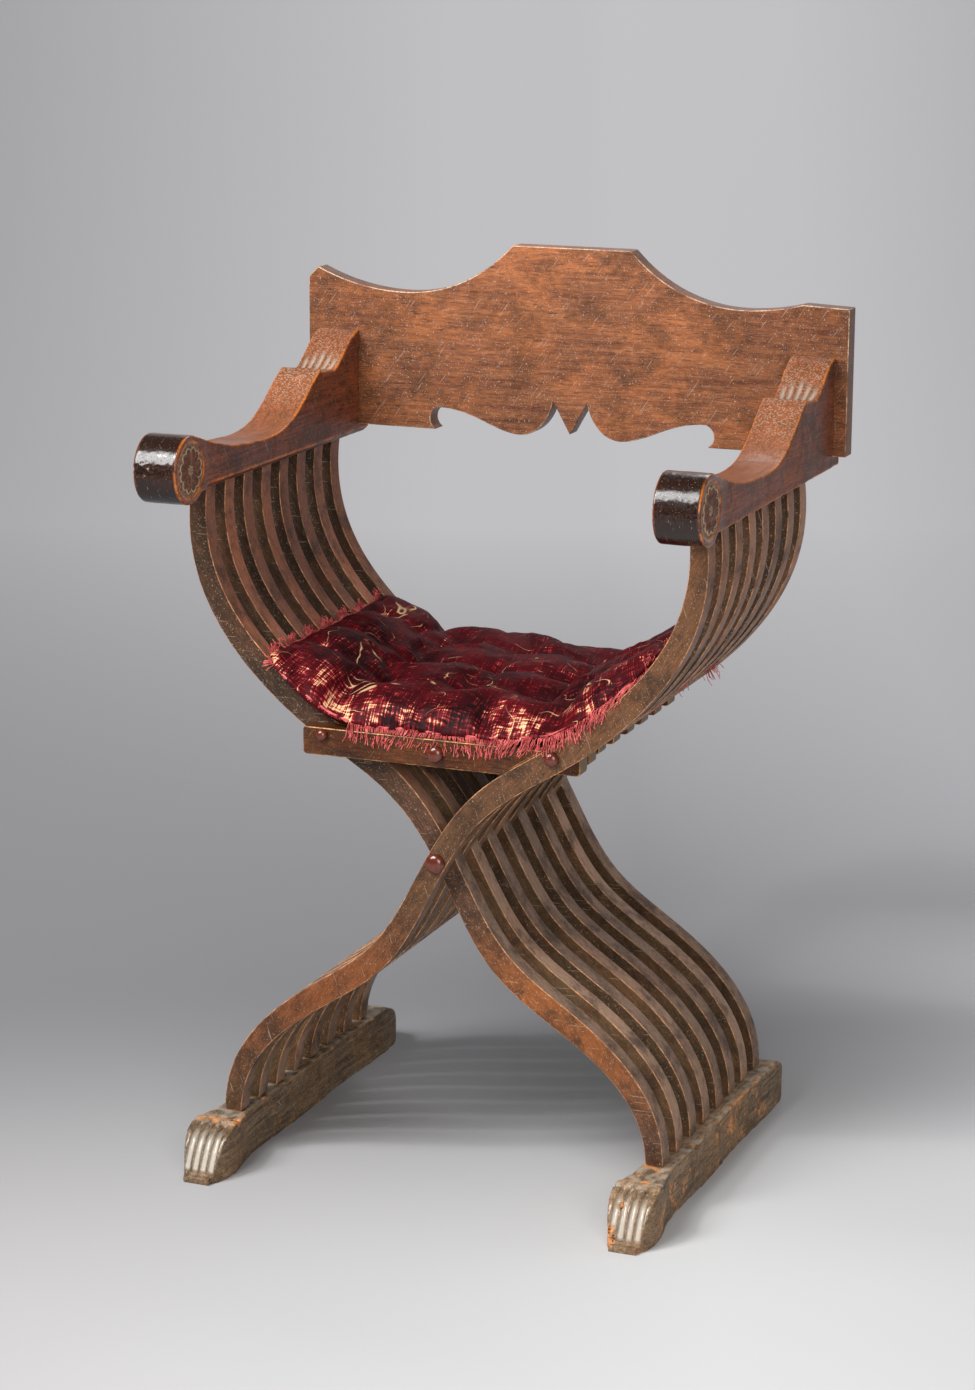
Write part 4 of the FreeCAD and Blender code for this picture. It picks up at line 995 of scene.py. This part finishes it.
def fringe_tree():
    """Threads along a path: each hangs in the path's own direction and curls its own way."""
    tree = bpy.data.node_groups.new("fringe threads", "GeometryNodeTree")
    tree.interface.new_socket("Path", in_out="INPUT", socket_type="NodeSocketGeometry")
    sockets = {}
    for name, value in (
        ("Spacing", 1.5), ("Length", 22.0), ("Thickness", 0.9), ("Curl", 4.0), ("Heading", 1.2),
    ):
        socket = tree.interface.new_socket(name, in_out="INPUT", socket_type="NodeSocketFloat")
        socket.default_value = value * MM
        sockets[name] = socket.identifier
    tree.interface.new_socket("Threads", in_out="OUTPUT", socket_type="NodeSocketGeometry")
    given = add(tree, "NodeGroupInput").outputs
    path = add(tree, "GeometryNodeMeshToCurve", {0: given["Path"]})
    spaced = add(tree, "GeometryNodeResampleCurve", {
        "Curve": path, "Length": given["Spacing"],
    }, mode="LENGTH")
    stations = add(tree, "GeometryNodeCurveToPoints", {0: spaced}, mode="EVALUATED")
    hang = add(tree, "GeometryNodeInputNamedAttribute", {"Name": "hang"}, data_type="FLOAT_VECTOR")
    stray = add(tree, "FunctionNodeRandomValue", {
        0: (-0.3, -0.3, -0.3), 1: (0.3, 0.3, 0.3), "Seed": 3,
    }, data_type="FLOAT_VECTOR")
    way = add(tree, "ShaderNodeVectorMath", {0: hang, 1: stray}, operation="ADD")
    facing = add(tree, "FunctionNodeAlignRotationToVector", {"Vector": way}, axis="Z")
    end = add(tree, "ShaderNodeCombineXYZ", {"Z": given["Length"]})
    thread = add(tree, "GeometryNodeCurvePrimitiveLine", {"End": end})
    bent = add(tree, "GeometryNodeResampleCurve", {"Curve": thread, "Count": 8})
    random_length = add(tree, "FunctionNodeRandomValue", {
        2: 0.65, 3: 1.15, "Seed": 5,
    }, data_type="FLOAT")
    stretch = add(tree, "ShaderNodeCombineXYZ", {"X": 1.0, "Y": 1.0, "Z": random_length})
    placed = add(tree, "GeometryNodeInstanceOnPoints", {
        "Points": stations, "Instance": bent, "Rotation": facing, "Scale": stretch,
    })
    strands = add(tree, "GeometryNodeRealizeInstances", {0: placed})
    # a thread leaves the seam straight and curls more towards its end
    along = add(tree, "GeometryNodeSplineParameter")
    freedom = add(tree, "ShaderNodeMath", {0: along.outputs["Factor"], 1: 0.8}, operation="POWER")
    curl_noise = add(tree, "ShaderNodeTexNoise", {"Scale": 1 / (6 * MM), "Detail": 1.0})
    centred = add(tree, "ShaderNodeVectorMath", {
        0: curl_noise.outputs["Color"], 1: (0.5, 0.5, 0.5),
    }, operation="SUBTRACT")
    amount = add(tree, "ShaderNodeMath", {0: freedom, 1: given["Curl"]}, operation="MULTIPLY")
    doubled = add(tree, "ShaderNodeMath", {0: amount, 1: 4.0}, operation="MULTIPLY")
    offset = add(tree, "ShaderNodeVectorMath", {0: centred, "Scale": doubled}, operation="SCALE")
    curled = add(tree, "GeometryNodeSetPosition", {"Geometry": strands, "Offset": offset})
    half = add(tree, "ShaderNodeMath", {0: given["Thickness"], 1: 0.5}, operation="MULTIPLY")
    whole = add(tree, "GeometryNodeJoinGeometry")
    # the threads are bound by a narrow braid along the seam
    for curve, sides, radius in ((curled, 4, half), (path, 6, given["Heading"])):
        ring = add(tree, "GeometryNodeCurvePrimitiveCircle", {
            "Resolution": sides, "Radius": radius,
        }, mode="RADIUS")
        swept = add(tree, "GeometryNodeCurveToMesh", {
            "Curve": curve, "Profile Curve": ring, "Fill Caps": True,
        })
        feed(tree, whole, {0: swept})
    realized = add(tree, "GeometryNodeRealizeInstances", {0: whole})
    coloured = add(tree, "GeometryNodeSetMaterial", {"Geometry": realized, "Material": FRINGE})
    add(tree, "NodeGroupOutput", {0: coloured})
    return tree, sockets


def make_fringe(name, points, ways, tree, sockets, sizes):
    """Fringe along the points, each thread starting in its point's way."""
    mesh = bmesh.new()
    corners = [mesh.verts.new(Vector(point) * MM) for point in points]
    for a, b in zip(corners, corners[1:]):
        mesh.edges.new((a, b))
    data = mesh_data(mesh, name)
    hang = data.attributes.new("hang", "FLOAT_VECTOR", "POINT")
    hang.data.foreach_set("vector", np.array(ways, np.float32).ravel())
    fringe = bpy.data.objects.new(name, data)
    bpy.context.scene.collection.objects.link(fringe)
    threads = fringe.modifiers.new("threads", "NODES")
    threads.node_group = tree
    for size_name, value in sizes.items():
        threads[sockets[size_name]] = value * MM
    baked(fringe)
    fringe.data.shade_smooth()
    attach(fringe, "squab_cushion")


def fringe_squab(places):
    """Fringe round the squab's rim; its threads hang, lie up the staves or poke between."""
    tree, sockets = fringe_tree()
    left, right = places[:, 0].min(), places[:, 0].max()
    front = rim_path(places, 0, left + 5, right - 5, np.argmin, 1)
    back = rim_path(places, 0, left + 5, right - 5, np.argmax, 1)
    front[:, 1] += 1.5
    back[:, 1] -= 1.5
    front_ways = [(0.35 * math.sin(x / 17), -0.55, -0.9) for x, _, _ in front]
    back_ways = [(0.1 * math.sin(x / 19), 0.9, -0.7) for x, _, _ in back]
    # the fringe is lost at the front's left end, where only the sewn hem is left
    hemmed = int(np.sum(front[:, 0] < -98))
    make_fringe("front_hem", front[:hemmed + 1], front_ways[:hemmed + 1], tree, sockets, {
        "Spacing": 1.6, "Length": 2.5, "Thickness": 0.8, "Curl": 0.8, "Heading": 1.4,
    })
    make_fringe("front_fringe", front[hemmed:], front_ways[hemmed:], tree, sockets, {
        "Spacing": 0.8, "Length": 20, "Thickness": 0.85, "Curl": 1.6, "Heading": 1.1,
    })
    make_fringe("back_fringe", back, back_ways, tree, sockets, {
        "Spacing": 1.4, "Length": 12, "Thickness": 0.9, "Curl": 3.0,
    })
    for side, label, pick in ((-1, "left", np.argmin), (1, "right", np.argmax)):
        rim = rim_path(places, 1, -158, 150, pick, 0)
        ways = []
        for x, y, z in rim:
            if layer_is_open(y, side):
                ways.append((side * 0.9, 0.0, -0.35))
            else:
                ways.append((side * 0.12, -0.25, 0.9))
        make_fringe(f"{label}_fringe", rim, ways, tree, sockets, {
            "Spacing": 0.9, "Length": 12, "Thickness": 0.8, "Curl": 2.4,
        })
    # long ends of the right-hand fringe have been pulled through between the staves
    for number, (layer, length) in enumerate(((4, 34), (8, 36), (12, 44)), start=1):
        middle = STACK_FRONT + LAYER_PITCH * (layer - 0.5)
        x, _, z = rim[np.argmin(np.abs(rim[:, 1] - middle))]
        knot = [(x - 38, middle - 4 + step, z - 34) for step in range(0, 9, 2)]
        out = [(0.6, 0.0, -0.8)] * len(knot)
        make_fringe(f"right_fringe_tuft_{number}", knot, out, tree, sockets, {
            "Spacing": 0.3, "Length": length, "Thickness": 0.8, "Curl": 2.0, "Heading": 1.0,
        })


dress_wood()
fringe_squab(make_squab())


# Studio


def make_studio():
    """Floor that sweeps up into a backdrop, paler near the camera and up the wall: painted falloff
    of the lamps' light in its colour, and painted light in its glow, which also lifts the chair's
    shadow to its right.
    """
    width, front, bend, back, rise = 9.0, -5.0, 3.2, 5.0, 5.0
    steps = 16
    radius = back - bend
    rows = [(front, 0.0), (bend, 0.0)]
    for i in range(1, steps + 1):
        turn = math.pi / 2 * i / steps
        rows.append((bend + radius * math.sin(turn), radius * (1 - math.cos(turn))))
    rows.append((back, rise))
    mesh = bmesh.new()
    ranks = [[mesh.verts.new((x, y, z)) for x in (-width, width)] for y, z in rows]
    for lower, upper in zip(ranks, ranks[1:]):
        mesh.faces.new((lower[0], lower[1], upper[1], upper[0]))
    data = mesh_data(mesh, "paper sweep")
    material, tree, shader = new_material("grey background paper")
    place = add(tree, "ShaderNodeTexCoord").outputs["Object"]
    across, depth, _ = add(tree, "ShaderNodeSeparateXYZ", {0: place}).outputs
    # painted falloff: the floor's colour is paler near the camera and on the right, darker further
    # back, as the lamps' light falls off
    side = add(tree, "ShaderNodeMapRange", {0: across, 1: -0.8, 2: 0.2})
    near = add(tree, "ShaderNodeMix", {
        0: side, 6: linear("#a5a2a3"), 7: linear("#d6d6d6"),
    }, data_type="RGBA")
    far = add(tree, "ShaderNodeMapRange", {0: across, 1: 0.2, 2: 0.7})
    distant = add(tree, "ShaderNodeMix", {
        0: far, 6: linear("#7c7c7f"), 7: linear("#aaaaaf"),
    }, data_type="RGBA")
    painted_falloff = add(tree, "ShaderNodeMapRange", {
        0: depth, 1: -0.45, 2: 0.5,
    }, interpolation_type="SMOOTHSTEP")
    tone = add(tree, "ShaderNodeMix", {0: painted_falloff, 6: near, 7: distant}, data_type="RGBA")
    rays = add(tree, "ShaderNodeLightPath").outputs
    seen = add(tree, "ShaderNodeMath", {
        0: rays["Is Camera Ray"], 1: rays["Is Glossy Ray"],
    }, operation="MAXIMUM")
    # painted light: the glow grows towards the back and up the wall, brightest behind the chair's
    # middle and dimmer to both sides
    paleness = add(tree, "ShaderNodeMapRange", {0: depth, 1: 0.1, 2: 3.3, 4: 0.5})
    lit_side = add(tree, "ShaderNodeMapRange", {0: across, 1: -1.3, 2: -0.1, 3: 0.64})
    dimmed = add(tree, "ShaderNodeMapRange", {0: across, 1: 0.3, 2: 1.2, 3: 1.0, 4: 0.68})
    lit = add(tree, "ShaderNodeMath", {0: lit_side, 1: dimmed}, operation="MULTIPLY")
    even = add(tree, "ShaderNodeMath", {0: paleness, 1: lit}, operation="MULTIPLY")
    # painted light: the floor glows to the chair's right, over the chair's shadow there
    from_front = add(tree, "ShaderNodeMapRange", {0: depth, 1: -0.25, 2: 0.0})
    to_back = add(tree, "ShaderNodeMapRange", {0: depth, 1: 0.25, 2: 0.8, 3: 1.0, 4: 0.0})
    to_right = add(tree, "ShaderNodeMapRange", {0: across, 1: 0.25, 2: 0.65, 4: 0.21})
    painted_light_strip = add(tree, "ShaderNodeMath", {0: from_front, 1: to_back}, operation="MULTIPLY")
    painted_light_patch = add(tree, "ShaderNodeMath", {0: painted_light_strip, 1: to_right}, operation="MULTIPLY")
    summed = add(tree, "ShaderNodeMath", {0: even, 1: painted_light_patch}, operation="ADD")
    glow = add(tree, "ShaderNodeMath", {0: seen, 1: summed}, operation="MULTIPLY")
    feed(tree, shader, {
        "Base Color": tone, "Roughness": 0.85, "Emission Color": linear("#f4f2f4"),
        "Emission Strength": glow,
    })
    sweep = finished("paper sweep", data, material)
    sweep.rotation_euler = (0, 0, math.radians(21.7))


def soft_light(name, place, target_height, sides, power):
    """Rectangular lamp aimed at the chair's middle, at one height in metres."""
    lamp = bpy.data.lights.new(name, "AREA")
    lamp.shape = "RECTANGLE"
    lamp.size, lamp.size_y = sides
    lamp.energy = power
    thing = bpy.data.objects.new(name, lamp)
    bpy.context.scene.collection.objects.link(thing)
    thing.location = place
    way = Vector((0, 0, target_height)) - thing.location
    thing.rotation_euler = way.to_track_quat("-Z", "Y").to_euler()


# where the lens was, in m, found from the chair's outlines in the photograph
CAMERA_PLACE = (1.18809, -3.01591, 1.27184)


def make_camera():
    """Seen from the front right and above, as in the photograph."""
    azimuth, pitch, roll = math.radians(21.708), math.radians(13.131), math.radians(0.296)
    back = Vector((
        math.sin(azimuth) * math.cos(pitch), -math.cos(azimuth) * math.cos(pitch),
        math.sin(pitch),
    ))
    right = Vector((math.cos(azimuth), math.sin(azimuth), 0))
    up = back.cross(right)
    across = right * math.cos(roll) + up * math.sin(roll)
    above = up * math.cos(roll) - right * math.sin(roll)
    data = bpy.data.cameras.new("camera")
    data.sensor_fit = "VERTICAL"
    data.sensor_height = 36.0
    focal_pixels = 3306.9
    data.lens = focal_pixels * data.sensor_height / PHOTO_HEIGHT
    middle_row = 650
    data.shift_y = (middle_row - PHOTO_HEIGHT / 2) / PHOTO_HEIGHT
    camera = bpy.data.objects.new("camera", data)
    bpy.context.scene.collection.objects.link(camera)
    turn = Matrix((across, above, back)).transposed().to_4x4()
    camera.matrix_world = Matrix.Translation(CAMERA_PLACE) @ turn
    bpy.context.scene.camera = camera


make_studio()
soft_light("key softbox, upper left", (-1.35, -1.8, 2.2), 0.55, (0.8, 1.5), 60)
soft_light("second softbox", (-0.535, -1.85, 2.46), 0.6, (0.55, 1.3), 34)
soft_light("small lamp, upper left", (-1.1, -1.6, 2.5), 0.4, (0.16, 0.16), 14)
soft_light("front fill", (1.8, -3.0, 1.5), 0.5, (1.8, 1.8), 60)
soft_light("back edge light", (0.2, 1.8, 2.6), 0.7, (1.6, 0.8), 16)
make_camera()

world = bpy.data.worlds.new("studio")
bpy.context.scene.world = world
world.use_nodes = True
feed(world.node_tree, world.node_tree.nodes["Background"], {
    "Color": linear("#b8b8ba"), "Strength": 0.2,
})
bpy.context.scene.view_settings.view_transform = "Standard"
